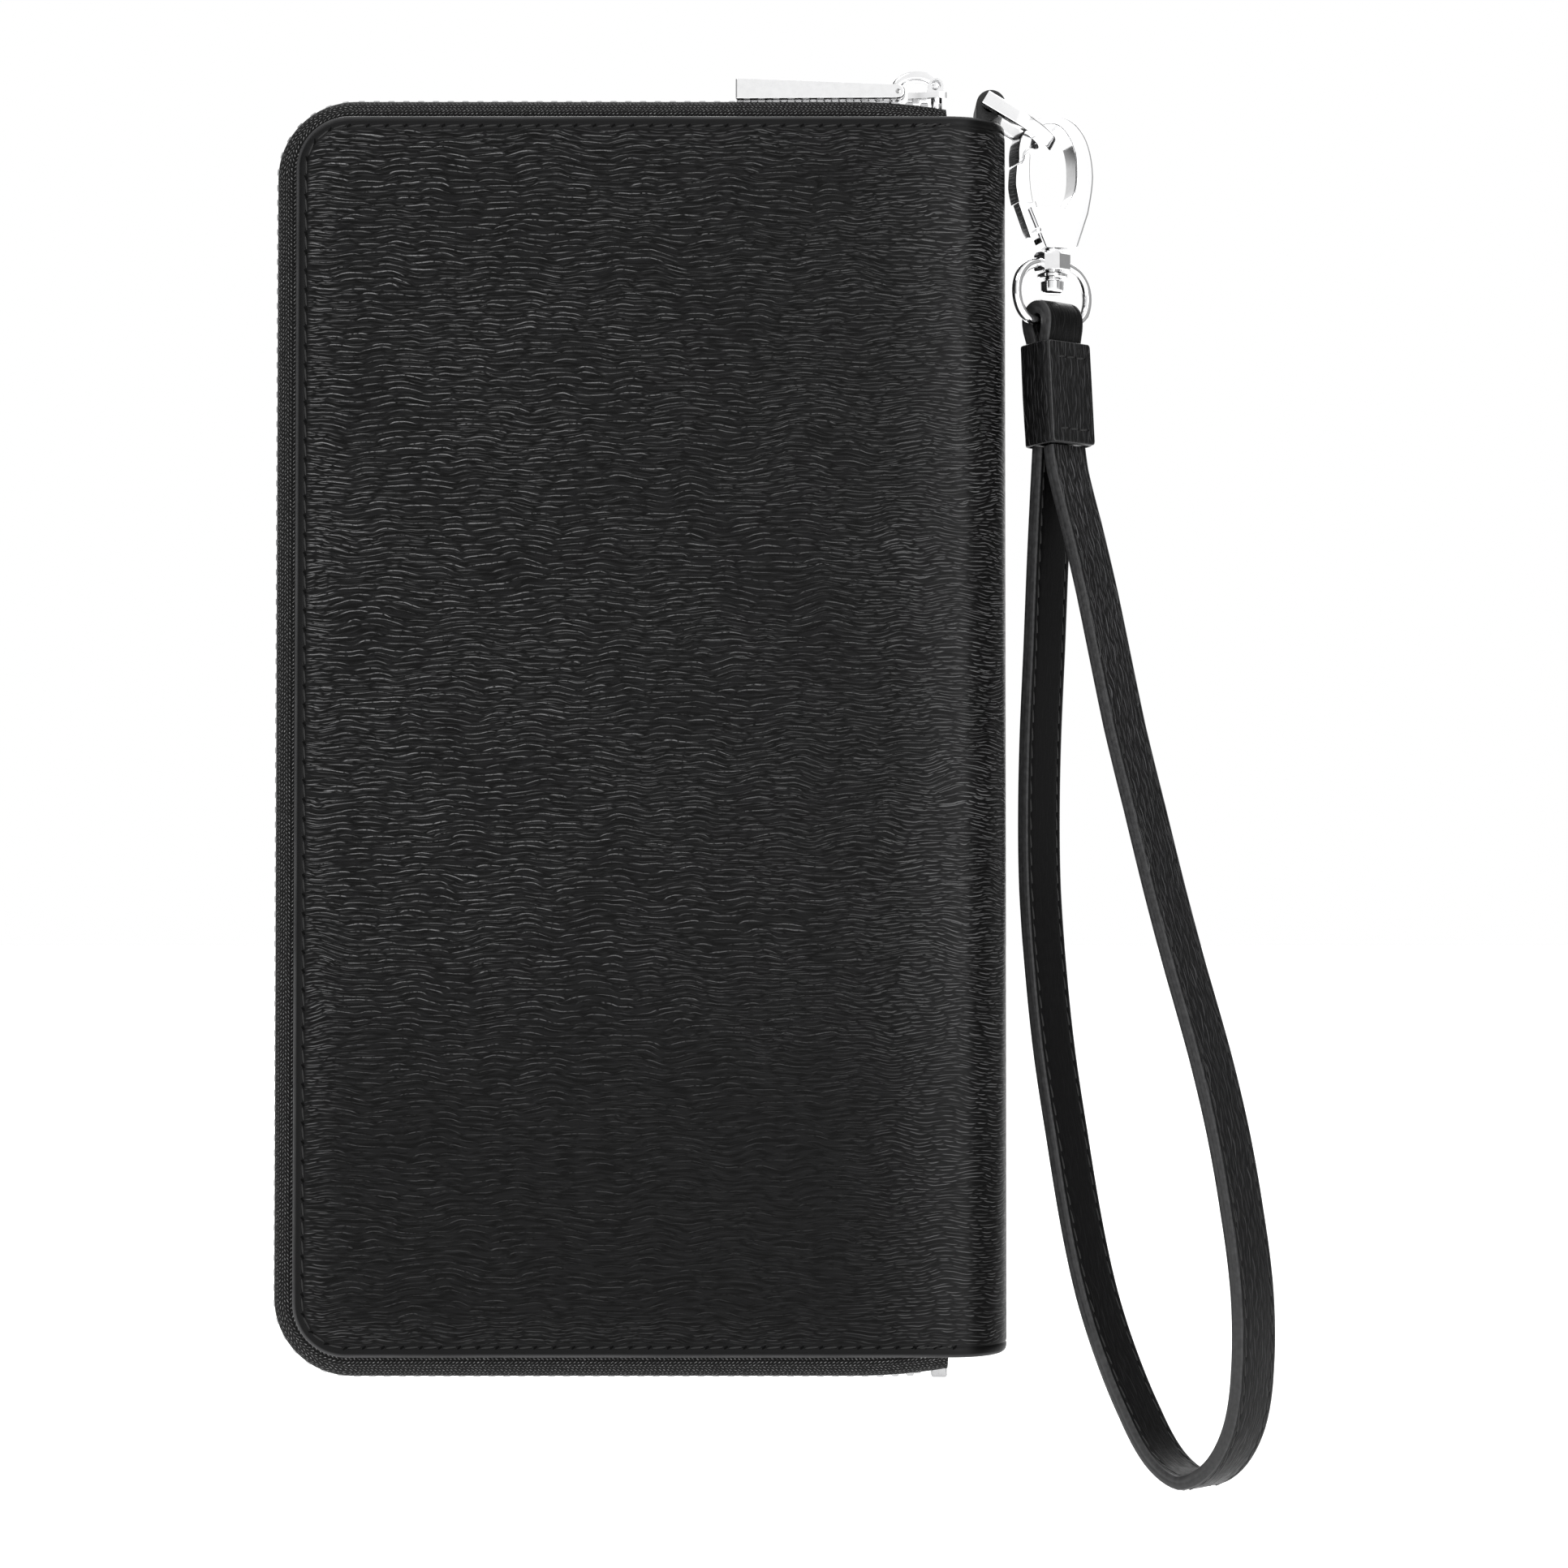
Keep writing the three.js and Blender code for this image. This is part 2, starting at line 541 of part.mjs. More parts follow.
function swivelEye() {
  const group = pivot(wallet, HOOK_X, MID_Y, HOOK_Z, EYE_TURN);
  const collar = [[1.4, -23.3], [2.6, -23.3], [2.9, -22.9], [2.9, -20.9], [2.5, -20.4],
    [1.4, -20.4], [1.4, -23.3]];
  const sleeve = new THREE.LatheGeometry(collar.map(([r, z]) => new THREE.Vector2(r, z)), 8);
  const side = [[-2.2, -21.9], [-5.1, -22.8], [-6.9, -24.6], [-EYE_HALF, -27], [-6.6, -29.5],
    [-4.9, EYE_BAR + 0.1]];
  const low = [[-3, EYE_BAR], [0, EYE_BAR], [3, EYE_BAR]];
  const other = side.map(([x, z]) => [-x, z]).reverse();
  const route = new THREE.CatmullRomCurve3(
    [...side, ...low, ...other].map(([x, z]) => new THREE.Vector3(x, 0, z)),
  );
  const wire = new THREE.ExtrudeGeometry(new THREE.Shape().absarc(0, 0, EYE_WIRE, 0, 2 * Math.PI), {
    steps: 36, curveSegments: 4, bevelEnabled: false, extrudePath: route,
  });
  add(group, 'swivel_eye', join(sleeve.rotateX(Math.PI / 2), wire), 'metal');
}

// ---------------------------------------------------------------- wrist strap
// The strap's own plane: forward (n) and z, with z = 0 at the wallet's middle.
const KEEPER = { low: 43.6, high: 59.4, wall: 0.65 };
const STRAP_ROUTE = [
  [2.54, 43.5], [3.2, 40], [5.9, 32], [9.4, 21], [15, 1], [19, -11], [23, -23], [27.2, -34.6],
  [31.6, -46], [35.3, -57.5], [38, -69], [39.8, -80], [39.8, -91], [38.2, -99], [34.2, -105],
  [28.4, -107.8], [22.6, -105.3], [17.8, -99.5], [13.2, -92], [9, -83], [5.6, -72], [2.8, -60],
  [0.2, -48], [-1.6, -36], [-2.9, -23], [-3.1, -11], [-2.7, 1], [-1.9, 13], [-1.2, 25],
  [-0.5, 35], [0.14, 43.5],
];

function strap() {
  const group = pivot(wallet, HOOK_X, MID_Y, 0, EYE_TURN);
  const bar = HOOK_Z + EYE_BAR;
  const end = pivot(group, 0, 0, bar);
  end.rotation.x = -radians(STRAP_LEAN);
  const bore = EYE_WIRE + 0.25;
  const outer = bore + STRAP;
  const half = STRAP + CLEARANCE / 2;

  // the doubled end leans about the eye's bar; it is drawn in (n, z) as if upright
  const fold = new THREE.Shape();
  fold.moveTo(-half, KEEPER.low + CLEARANCE);
  fold.lineTo(half, KEEPER.low + CLEARANCE);
  fold.lineTo(half, KEEPER.high);
  fold.lineTo(outer, bar - 1);
  fold.absarc(0, bar, outer, 0, Math.PI);
  fold.lineTo(-outer, bar - 1);
  fold.lineTo(-half, KEEPER.high);
  const across = new THREE.ExtrudeGeometry(fold, {
    depth: STRAP_WIDTH, bevelEnabled: false, curveSegments: 7,
  });
  const stand = (geometry) => geometry.rotateX(Math.PI / 2).rotateZ(Math.PI / 2);
  const eye = new THREE.CylinderGeometry(bore, bore, STRAP_WIDTH + 4, 12);
  eye.rotateZ(Math.PI / 2).translate(0, 0, bar);
  const folded = stand(across).translate(-STRAP_WIDTH / 2, 0, 0);
  add(end, 'strap_fold', cut(folded, eye).translate(0, 0, -bar), 'strapLeather');

  const inX = STRAP_WIDTH / 2 + CLEARANCE;
  const inY = half + CLEARANCE;
  const ring = (x, y, low, high) => box(-x, x, -y, y, low, high);
  const keeper = cut(
    ring(inX + KEEPER.wall, inY + KEEPER.wall, KEEPER.low, KEEPER.high - CLEARANCE),
    ring(inX, inY, KEEPER.low - 1, KEEPER.high + 1),
  );
  add(end, 'strap_keeper', keeper.translate(0, 0, -bar), 'strapLeather');

  const bevel = 0.5;
  const [w, t] = [STRAP_WIDTH / 2, STRAP / 2];
  const section = polygon([
    [-w + bevel, -t], [w - bevel, -t], [w, -t + bevel], [w, t - bevel],
    [w - bevel, t], [-w + bevel, t], [-w, t - bevel], [-w, -t + bevel],
  ]);
  const route = new THREE.CatmullRomCurve3(
    STRAP_ROUTE.map(([n, z]) => new THREE.Vector3(0, -n, z)), false, 'centripetal',
  );
  const loop = new THREE.ExtrudeGeometry(section, {
    steps: 70, bevelEnabled: false, extrudePath: route,
  });
  add(group, 'wrist_strap', loop, 'strapLeather');
}

cover('back');
cover('front');
cardPanels();
notePocket();
spine();
zipHalf('back');
zipHalf('front');
zipStop();
slider();
pullerLink();
pullerBar();
coinPocket();
dRing();
clasp();
swivelEye();
strap();

export default wallet;
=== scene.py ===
"""A zip-round long wallet with a wrist strap: the looks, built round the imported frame.

Shapes are drawn in millimetres in the frame's own axes and made in metres. The wallet stands
upright with its spine at +X; its front cover faces -Y and the zip runs round the other sides.
"""
import math

import bmesh
import bpy
from mathutils import Matrix, Vector


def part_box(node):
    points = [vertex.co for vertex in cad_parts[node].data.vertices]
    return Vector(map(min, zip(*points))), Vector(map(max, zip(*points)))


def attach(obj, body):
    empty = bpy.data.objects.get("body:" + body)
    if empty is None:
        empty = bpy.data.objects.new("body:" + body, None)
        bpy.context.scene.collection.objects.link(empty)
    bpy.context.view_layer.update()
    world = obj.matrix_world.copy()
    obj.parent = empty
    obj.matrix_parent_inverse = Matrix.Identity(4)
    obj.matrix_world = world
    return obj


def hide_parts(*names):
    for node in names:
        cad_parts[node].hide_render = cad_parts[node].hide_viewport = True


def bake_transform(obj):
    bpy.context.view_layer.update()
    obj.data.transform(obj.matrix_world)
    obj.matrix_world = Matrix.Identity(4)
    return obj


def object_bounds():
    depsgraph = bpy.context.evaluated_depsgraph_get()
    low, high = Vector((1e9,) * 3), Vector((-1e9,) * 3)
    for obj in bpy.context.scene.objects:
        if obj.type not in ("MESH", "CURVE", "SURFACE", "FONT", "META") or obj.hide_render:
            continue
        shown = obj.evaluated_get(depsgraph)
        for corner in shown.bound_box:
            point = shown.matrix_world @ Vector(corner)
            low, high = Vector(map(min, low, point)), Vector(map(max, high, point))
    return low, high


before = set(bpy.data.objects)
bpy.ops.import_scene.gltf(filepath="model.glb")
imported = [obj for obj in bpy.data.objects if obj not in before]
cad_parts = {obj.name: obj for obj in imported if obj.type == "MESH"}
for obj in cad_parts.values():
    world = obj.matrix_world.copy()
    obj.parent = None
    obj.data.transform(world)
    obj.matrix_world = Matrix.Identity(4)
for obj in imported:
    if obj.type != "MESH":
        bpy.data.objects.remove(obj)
CAD_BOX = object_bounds()
MM = 0.001

# ---------------------------------------------------------------- places, from the frame


def span(node):
    """A CAD node's lowest and highest corners, in millimetres."""
    low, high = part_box(node)
    return low / MM, high / MM


LOW, HIGH = span("front_leather")
CLEARANCE = 0.3
LEFT, TOP, THICK = LOW.x, HIGH.z, -LOW.y
HINGE_X = HIGH.x + CLEARANCE / 2
RIGHT = span("spine_leather")[1].x
SPINE_RADIUS = RIGHT - HINGE_X
MID_Y = -THICK / 2
CORNER = 8
ZIP_PROUD = -span("front_zip_teeth")[0].x + LEFT
TOOTH_DEPTH = 1.9
TEETH_END = span("front_zip_teeth")[1].x

EYE = math.radians(40)  # the strap and the eye about the vertical
HOOK_TURN = math.radians(14)
HOOK_X, HOOK_Z = 62.1, 93.6
EYE_DROP = 30.9  # from the top of the hook to the middle of the bar
EYE_BAR = HOOK_Z - EYE_DROP
STRAP_WIDTH, STRAP = 7.4, 2.1
STITCH_LINE = 2.7  # from the strap's middle
STRAP_LEAN = math.radians(4)
KEEPER_LOW, KEEPER_HIGH = 43.6, 59.4
ACROSS = Vector((math.cos(EYE), math.sin(EYE), 0))
FORWARD = Vector((math.sin(EYE), -math.cos(EYE), 0))

# ---------------------------------------------------------------- camera, light and floor


def add_object(name, data):
    item = bpy.data.objects.new(name, data)
    bpy.context.scene.collection.objects.link(item)
    return item


def camera():
    data = bpy.data.cameras.new("camera")
    data.lens = 79.2
    data.sensor_width = 36
    item = add_object("camera", data)
    item.location = (0.0215, -0.5303, -0.02076)
    item.rotation_euler = (math.radians(91.5), 0, 0)
    bpy.context.scene.camera = item


def area_light(name, place, target, size, power):
    data = bpy.data.lights.new(name, "AREA")
    data.shape = "RECTANGLE"
    data.size, data.size_y = size
    data.energy = power
    item = add_object(name, data)
    item.location = place
    item.rotation_euler = (Vector(target) - Vector(place)).to_track_quat("-Z", "Y").to_euler()


def studio():
    world = bpy.data.worlds.new("studio")
    bpy.context.scene.world = world
    world.use_nodes = True
    nodes, links = world.node_tree.nodes, world.node_tree.links
    background = nodes["Background"]
    background.inputs["Strength"].default_value = 2
    direction = nodes.new("ShaderNodeTexCoord")
    parts = nodes.new("ShaderNodeSeparateXYZ")
    links.new(direction.outputs["Generated"], parts.inputs[0])
    side = nodes.new("ShaderNodeValToRGB")
    side.color_ramp.interpolation = "EASE"
    stops = side.color_ramp.elements
    stops[0].position, stops[0].color = 0.0, (0.2, 0.2, 0.2, 1)
    stops[1].position, stops[1].color = 1.0, (0.16, 0.16, 0.16, 1)
    for place, value in ((0.08, 0.3), (0.12, 0.01), (0.19, 0.01), (0.24, 0.35), (0.4, 0.5), (0.6, 0.55),
                         (0.71, 1.0), (0.79, 0.5), (0.87, 0.12), (0.94, 0.3)):
        stop = stops.new(place)
        stop.color = (value, value, value, 1)
    spread = nodes.new("ShaderNodeMapRange")
    spread.inputs["From Min"].default_value = -1
    spread.inputs["From Max"].default_value = 1
    links.new(parts.outputs["X"], spread.inputs["Value"])
    links.new(spread.outputs["Result"], side.inputs["Fac"])
    seen = nodes.new("ShaderNodeLightPath")
    mix = nodes.new("ShaderNodeMix")
    mix.data_type = "RGBA"
    mix.inputs["B"].default_value = (0.5, 0.5, 0.5, 1)
    links.new(seen.outputs["Is Camera Ray"], mix.inputs["Factor"])
    links.new(side.outputs["Color"], mix.inputs["A"])
    links.new(mix.outputs["Result"], background.inputs["Color"])

    area_light("key", (-0.35, -0.55, 0.75), (0, 0, 0), (0.5, 0.35), 2.5)
    area_light("side", (0.34, -0.78, 0.12), (0.02, 0, 0), (0.26, 0.6), 1.2)
    area_light("rear", (0.1, 0.7, 0.6), (0, 0, 0), (0.7, 0.4), 3)
    bpy.context.scene.view_settings.view_transform = "Standard"


def floor():
    drop = 0.006
    z = CAD_BOX[0].z - drop
    side = 4
    mesh = bpy.data.meshes.new("floor")
    corners = [(-side, -side, z), (side, -side, z), (side, side, z), (-side, side, z)]
    mesh.from_pydata(corners, [], [(0, 1, 2, 3)])
    item = add_object("floor", mesh)
    shader = Shader("floor", (0.9, 0.9, 0.9), 0.9)
    shader.bsdf.inputs["Emission Color"].default_value = (1, 1, 1, 1)
    shader.bsdf.inputs["Emission Strength"].default_value = 0.45
    mesh.materials.append(shader.material)


# ---------------------------------------------------------------- materials


class Shader:
    """A principled material with short calls for the nodes that drive it."""

    def __init__(self, name, color, roughness, metallic=0.0, specular=0.5):
        self.material = bpy.data.materials.new(name)
        self.material.use_nodes = True
        self.tree = self.material.node_tree
        self.bsdf = self.tree.nodes["Principled BSDF"]
        self.bsdf.inputs["Base Color"].default_value = (*color, 1)
        self.bsdf.inputs["Roughness"].default_value = roughness
        self.bsdf.inputs["Metallic"].default_value = metallic
        self.bsdf.inputs["Specular IOR Level"].default_value = specular

    def plug(self, node, inputs):
        for key, value in inputs.items():
            live = [each for each in node.inputs if key in (each.name, each.identifier) and each.enabled]
            socket = live[0] if live else node.inputs[key]
            if isinstance(value, bpy.types.NodeSocket):
                self.tree.links.new(value, socket)
            else:
                socket.default_value = value

    def node(self, kind, inputs=None, **settings):
        made = self.tree.nodes.new("ShaderNode" + kind)
        for key, value in settings.items():
            setattr(made, key, value)
        self.plug(made, inputs or {})
        return made

    def math(self, operation, a, b=0.0, c=0.0):
        return self.node("Math", {0: a, 1: b, 2: c}, operation=operation).outputs[0]

    def plus(self, a, b):
        return self.math("ADD", a, b)

    def minus(self, a, b):
        return self.math("SUBTRACT", a, b)

    def times(self, a, b):
        return self.math("MULTIPLY", a, b)

    def times_plus(self, a, b, c):
        return self.math("MULTIPLY_ADD", a, b, c)

    def place(self):
        """The surface's own flat coordinates, in millimetres."""
        vector = self.node("Attribute", attribute_name="place").outputs["Vector"]
        parts = self.node("SeparateXYZ", {0: vector})
        return parts.outputs["X"], parts.outputs["Y"], parts.outputs["Z"]

    def vector(self, x, y, z=0.0):
        return self.node("CombineXYZ", {0: x, 1: y, 2: z}).outputs[0]

    def stretched(self, x, y, by_x, by_y, z=0.0):
        return self.vector(self.times(x, by_x), self.times(y, by_y), z)

    def object_place(self):
        """The object's own coordinates, in millimetres."""
        vector = self.node("TexCoord").outputs["Object"]
        return self.node("VectorMath", {0: vector, "Scale": 1 / MM}, operation="SCALE").outputs[0]

    def noise(self, vector, scale, detail=2.0, roughness=0.5):
        inputs = {"Vector": vector, "Scale": scale, "Detail": detail, "Roughness": roughness}
        return self.node("TexNoise", inputs).outputs[0]

    def ramp(self, value, low, high, start=0.0, end=1.0):
        inputs = {"Value": value, "From Min": low, "From Max": high, "To Min": start, "To Max": end}
        return self.node("MapRange", inputs, interpolation_type="SMOOTHSTEP").outputs["Result"]

    def mix(self, factor, a, b):
        a, b = ((*color, 1) if isinstance(color, tuple) else color for color in (a, b))
        made = self.node("Mix", {"Factor": factor, "A": a, "B": b}, data_type="RGBA")
        return made.outputs["Result"]

    def finish(self, color=None, roughness=None, height=None, depth=0.1, strength=1.0):
        """height is in units of depth millimetres."""
        if color is not None:
            self.plug(self.bsdf, {"Base Color": color})
        if roughness is not None:
            self.plug(self.bsdf, {"Roughness": roughness})
        if height is not None:
            inputs = {"Height": height, "Distance": depth * MM, "Strength": strength}
            bump = self.node("Bump", inputs)
            self.plug(self.bsdf, {"Normal": bump.outputs["Normal"]})
        return self.material


def arcs(s, u, z, length, pitch, arch, seed):
    """Staggered rows of shallow arcs, about length by pitch millimetres: 1 on a line's middle."""
    level = s.times_plus(z, 1 / pitch, 500)
    base = s.math("FLOOR", level)
    found = None
    for step in (0, 1):
        row = s.plus(base, step)
        shift = s.node("TexWhiteNoise", {"W": s.plus(row, seed)}, noise_dimensions="1D")
        run = s.times_plus(u, 1 / length, s.times(shift.outputs["Value"], 9))
        along = s.minus(s.math("FRACT", run), 0.5)
        own = s.node("TexWhiteNoise", {"Vector": s.vector(row, s.math("FLOOR", run), seed)})
        parts = s.node("SeparateColor", {0: own.outputs["Color"]})
        curve = s.times(s.times(along, along), -4 * arch)
        lift = s.times_plus(parts.outputs[0], 0.5, -0.25)
        middle = s.plus(row, s.plus(curve, lift))
        away = s.times(s.math("ABSOLUTE", s.minus(level, middle)), pitch)
        line = s.ramp(away, 0.0, 0.1, 1.0, 0.0)
        ends = s.ramp(s.math("ABSOLUTE", along), 0.2, 0.5, 1.0, 0.0)
        strength = s.times_plus(parts.outputs[1], 0.75, 0.25)
        line = s.times(line, s.times(ends, strength))
        found = line if found is None else s.math("MAXIMUM", found, line)
    return found


def cover_leather():
    s = Shader("cover_leather", (0.01, 0.01, 0.01), 0.5, specular=0.085)
    u, z, margin = s.place()
    flat = s.vector(u, z)
    sway = s.noise(s.stretched(u, z, 0.1, 0.08), 1.0, 1.0)
    wobble = s.noise(s.stretched(u, z, 0.45, 0.5), 1.0, 1.5)
    raised = s.times_plus(sway, 3.6, s.times_plus(wobble, 0.3, z))
    stretch = s.noise(s.stretched(u, z, 0.15, 0.5, 9), 1.0, 1.0)
    moved = s.times_plus(stretch, 7.0, u)
    main = arcs(s, moved, raised, 4.8, 0.92, 0.3, 3)
    second = arcs(s, moved, raised, 2.6, 0.55, -0.2, 11)
    over = s.minus(s.math("WRAP", u, 200, -200), HINGE_X)
    spine = s.ramp(over, -20, 2)
    # Painted shade and highlight round the spine: the next line marks a dark band where the leather turns
    # away, the line after it a lighter band just before it.
    fold = s.times(s.ramp(over, 2.4, 4.6), s.ramp(over, 8.0, 11.0, 1.0, 0.0))
    spine_painted_highlight = s.times(s.ramp(over, -9, 1.2), s.ramp(over, 1.8, 3.6, 1.0, 0.0))
    slow = s.noise(flat, 0.06, 2.0)
    breaks = s.noise(s.stretched(u, z, 1.6, 0.9), 1.0, 2.0)
    # Where the crease lines, and so their painted highlight, are strongest: less towards the bottom and the
    # right, more near the edges and the spine.
    low = s.ramp(z, -62, -20, 0.22, 1.0)
    left = s.times(s.ramp(u, -45, 40, 1.0, 0.4), low)
    main = s.times(main, s.times(left, s.ramp(breaks, 0.28, 0.55)))
    near_edge = s.times(s.ramp(margin, 3, 7.5, 0.5, 0.0), s.ramp(u, -53, -30, 1.0, 0.3))
    weight = s.plus(s.math("MAXIMUM", s.times(spine, 0.4), near_edge),
                    s.times(low, s.ramp(slow, 0.35, 0.65, 0.03, 0.2)))
    lines = s.math("MAXIMUM", main, s.times(second, weight))
    inside = s.ramp(margin, 1.7, 2.6)
    lines = s.times(lines, inside)
    pores = s.noise(flat, 2.6, 3.0, 0.6)
    gaps = s.noise(s.stretched(moved, raised, 0.35, 1.7), 1.0, 2.0)
    shaded_hollows = s.times(s.ramp(gaps, 0.42, 0.62, 0.0, 1.0), inside)
    # Grain hollows painted darker: painted shade, as well as sinking them in the bump.
    base = s.mix(shaded_hollows, (0.0062, 0.0062, 0.0064), (0.002, 0.002, 0.002))
    # The spine's painted shade darkens the colour here, and its painted highlight lightens it on the next
    # line.
    shaded = s.mix(fold, base, (0.0012, 0.0012, 0.0012))
    lit = s.mix(s.times(spine_painted_highlight, 0.25), shaded, (0.026, 0.026, 0.0265))
    # The crease lines are painted light grey: a painted highlight on their lips, over the bump they also
    # drive.
    color = s.mix(lines, lit, (0.23, 0.23, 0.233))
    rough = s.times_plus(fold, 0.1, s.ramp(s.noise(flat, 0.9, 3.0), 0.3, 0.7, 0.3, 0.42))
    height = s.times_plus(pores, 0.3, s.minus(lines, s.times(shaded_hollows, 0.4)))
    # A painted highlight: a lighter line along the turned edge's outer rim, patchy with slow noise.
    rim = s.times(s.ramp(margin, 0.05, 0.2), s.ramp(margin, 0.35, 0.7, 1.0, 0.0))
    rim_highlighted = s.mix(s.times(rim, s.ramp(slow, 0.3, 0.7, 0.5, 1.0)), color, (0.05, 0.05, 0.051))
    return s.finish(rim_highlighted, rough, height, 0.055, 0.8)


# Painted highlight: the strap's crease lines are painted this many times lighter than its leather.
LINE_HIGHLIGHT = 24  # how much lighter the strap's creases are than its leather


def strap_leather(name="strap_leather", color=(0.0055, 0.0055, 0.0057), wrinkle=0.9, specular=0.12):
    """place.x runs along the strap, y across it, z tells how creased the leather is."""
    s = Shader(name, color, 0.45, specular=specular)
    along, across, creased = s.place()
    sway = s.noise(s.stretched(along, across, 0.12, 0.3), 1.0)
    shifted = s.times_plus(sway, 1.8, across)
    main = arcs(s, along, shifted, 4.2, 0.78, 0.4, 5)
    second = s.times(arcs(s, along, shifted, 2.6, 0.47, -0.25, 8), 0.5)
    level = s.times(creased, wrinkle)
    lines = s.times(s.math("MAXIMUM", main, second), level)
    pores = s.noise(s.vector(along, across), 3.2, 3.0, 0.6)
    furrow = s.noise(s.stretched(along, shifted, 0.3, 2.0), 1.0)
    shaded_furrows = s.times(s.ramp(furrow, 0.45, 0.65), level)
    height = s.times_plus(pores, 0.3, s.minus(lines, shaded_furrows))
    # Furrows painted darker: painted shade, as well as sinking them in the bump.
    base = s.mix(shaded_furrows, color, tuple(0.25 * part for part in color))
    # Crease lines painted lighter: a painted highlight, over the bump they also drive.
    tint = s.mix(lines, base, tuple(LINE_HIGHLIGHT * part for part in color))
    rough = s.ramp(s.noise(s.vector(along, across), 0.8, 2.0), 0.3, 0.7, 0.34, 0.46)
    return s.finish(tint, rough, height, 0.09, 0.9)


def edge_paint():
    s = Shader("edge_paint", (0.028, 0.028, 0.029), 0.38, specular=0.3)
    spots = s.noise(s.object_place(), 1.4, 3.0)
    rough = s.ramp(spots, 0.3, 0.7, 0.3, 0.46)
    color = s.mix(s.ramp(spots, 0.3, 0.75), (0.027, 0.027, 0.0275), (0.042, 0.042, 0.043))
    return s.finish(color, rough, spots, 0.03, 0.5)


def inner_leather():
    s = Shader("inner_leather", (0.012, 0.012, 0.012), 0.55, specular=0.35)
    place = s.object_place()
    pebbles = s.node("TexVoronoi", {"Vector": place, "Scale": 2.2}, feature="DISTANCE_TO_EDGE")
    creases = s.ramp(pebbles.outputs["Distance"], 0.0, 0.25, 0.6, 0.0)
    spots = s.noise(place, 2.5, 3.0)
    height = s.minus(s.times(spots, 0.5), creases)
    color = s.mix(spots, (0.009, 0.009, 0.0092), (0.018, 0.018, 0.0182))
    return s.finish(color, s.ramp(spots, 0.3, 0.7, 0.48, 0.62), height, 0.03, 0.6)


def twill(name, color, pitch):
    """A close twill: two sets of diagonal threads that pass over and under."""
    s = Shader(name, color, 0.85, specular=0.2)
    place = s.object_place()
    parts = s.node("SeparateXYZ", {0: place})
    x = s.plus(parts.outputs["X"], parts.outputs["Y"])
    z = parts.outputs["Z"]
    turn = 2 * math.pi / pitch
    first = s.math("SINE", s.times(s.plus(x, z), turn))
    second = s.math("SINE", s.times(s.minus(x, z), turn * 0.5))
    threads = s.times_plus(first, 0.5, s.times(second, 0.3))
    fuzz = s.noise(place, 5.0, 3.0)
    height = s.plus(threads, fuzz)
    # Raised threads painted lighter by height: a painted highlight on their tops.
    thread_highlight = tuple(2.2 * part for part in color)
    s.bsdf.inputs["Sheen Weight"].default_value = 0.25
    return s.finish(s.mix(s.ramp(height, -0.4, 1.4), color, thread_highlight), None, height, 0.06, 0.8)


def zip_tape():
    """Herringbone knit: place.x runs along the tape and y across it."""
    s = Shader("zip_tape", (0.01, 0.01, 0.01), 0.8, specular=0.2)
    along, across, _ = s.place()
    rib = 1.25
    folded = s.math("PINGPONG", across, rib)
    slanted = s.times_plus(folded, 0.9, along)
    loops = s.math("SINE", s.times(slanted, 2 * math.pi / 0.62))
    ribs = s.math("SINE", s.times(across, 2 * math.pi / (rib * 0.5)))
    fuzz = s.noise(s.vector(along, across), 3.4, 3.0, 0.65)
    height = s.times_plus(loops, 0.6, s.times(ribs, 0.35))
    height = s.times_plus(s.minus(fuzz, 0.5), 2.4, height)
    # Raised loops painted light grey by height: a painted highlight on the near-black tape.
    color = s.mix(s.ramp(height, 0.35, 1.5), (0.001, 0.001, 0.001), (0.42, 0.42, 0.42))
    return s.finish(color, None, height, 0.16, 1.0)


def metal(name, color, roughness, depth):
    s = Shader(name, color, roughness, 1.0)
    place = s.object_place()
    scuffs = s.noise(place, 0.9, 4.0, 0.6)
    fine = s.noise(place, 7.0, 2.0)
    rough = s.ramp(scuffs, 0.3, 0.75, roughness * 0.7, roughness * 1.4)
    tint = s.mix(s.ramp(scuffs, 0.3, 0.8), color, tuple(part * 0.93 for part in color))
    return s.finish(tint, rough, fine, depth, 0.25)


def thread():
    s = Shader("thread", (0.006, 0.006, 0.006), 0.6, specular=0.4)
    twist = s.noise(s.object_place(), 4.5, 2.0)
    color = s.mix(twist, (0.003, 0.003, 0.003), (0.014, 0.014, 0.014))
    return s.finish(color, None, twist, 0.05, 0.8)


def board():
    s = Shader("board", (0.35, 0.32, 0.28), 0.9)
    fibres = s.noise(s.object_place(), 1.5, 4.0, 0.7)
    color = s.mix(fibres, (0.26, 0.235, 0.2), (0.42, 0.385, 0.33))
    return s.finish(color, None, fibres, 0.06, 0.6)


MATERIALS = {
    "cover": cover_leather(),
    "strap": strap_leather(),
    "strap_inside": strap_leather("strap_inside", (0.0025, 0.0025, 0.0026), 0.35, 0.08),
    "paint": edge_paint(),
    "inner": inner_leather(),
    "lining": twill("lining", (0.008, 0.008, 0.0085), 0.7),
    "tape": zip_tape(),
    "polished": metal("hardware", (0.84, 0.84, 0.845), 0.09, 0.004),
    "teeth": metal("zip_teeth", (0.45, 0.45, 0.455), 0.24, 0.01),
    "thread": thread(),
    # Near-black slits at the stitch holes: painted shade standing in for the holes' dark insides.
    "hole_shade": Shader("hole_shade", (0.0015, 0.0015, 0.0015), 0.9, specular=0.1).material,
    "board": board(),
}

# ---------------------------------------------------------------- making pieces


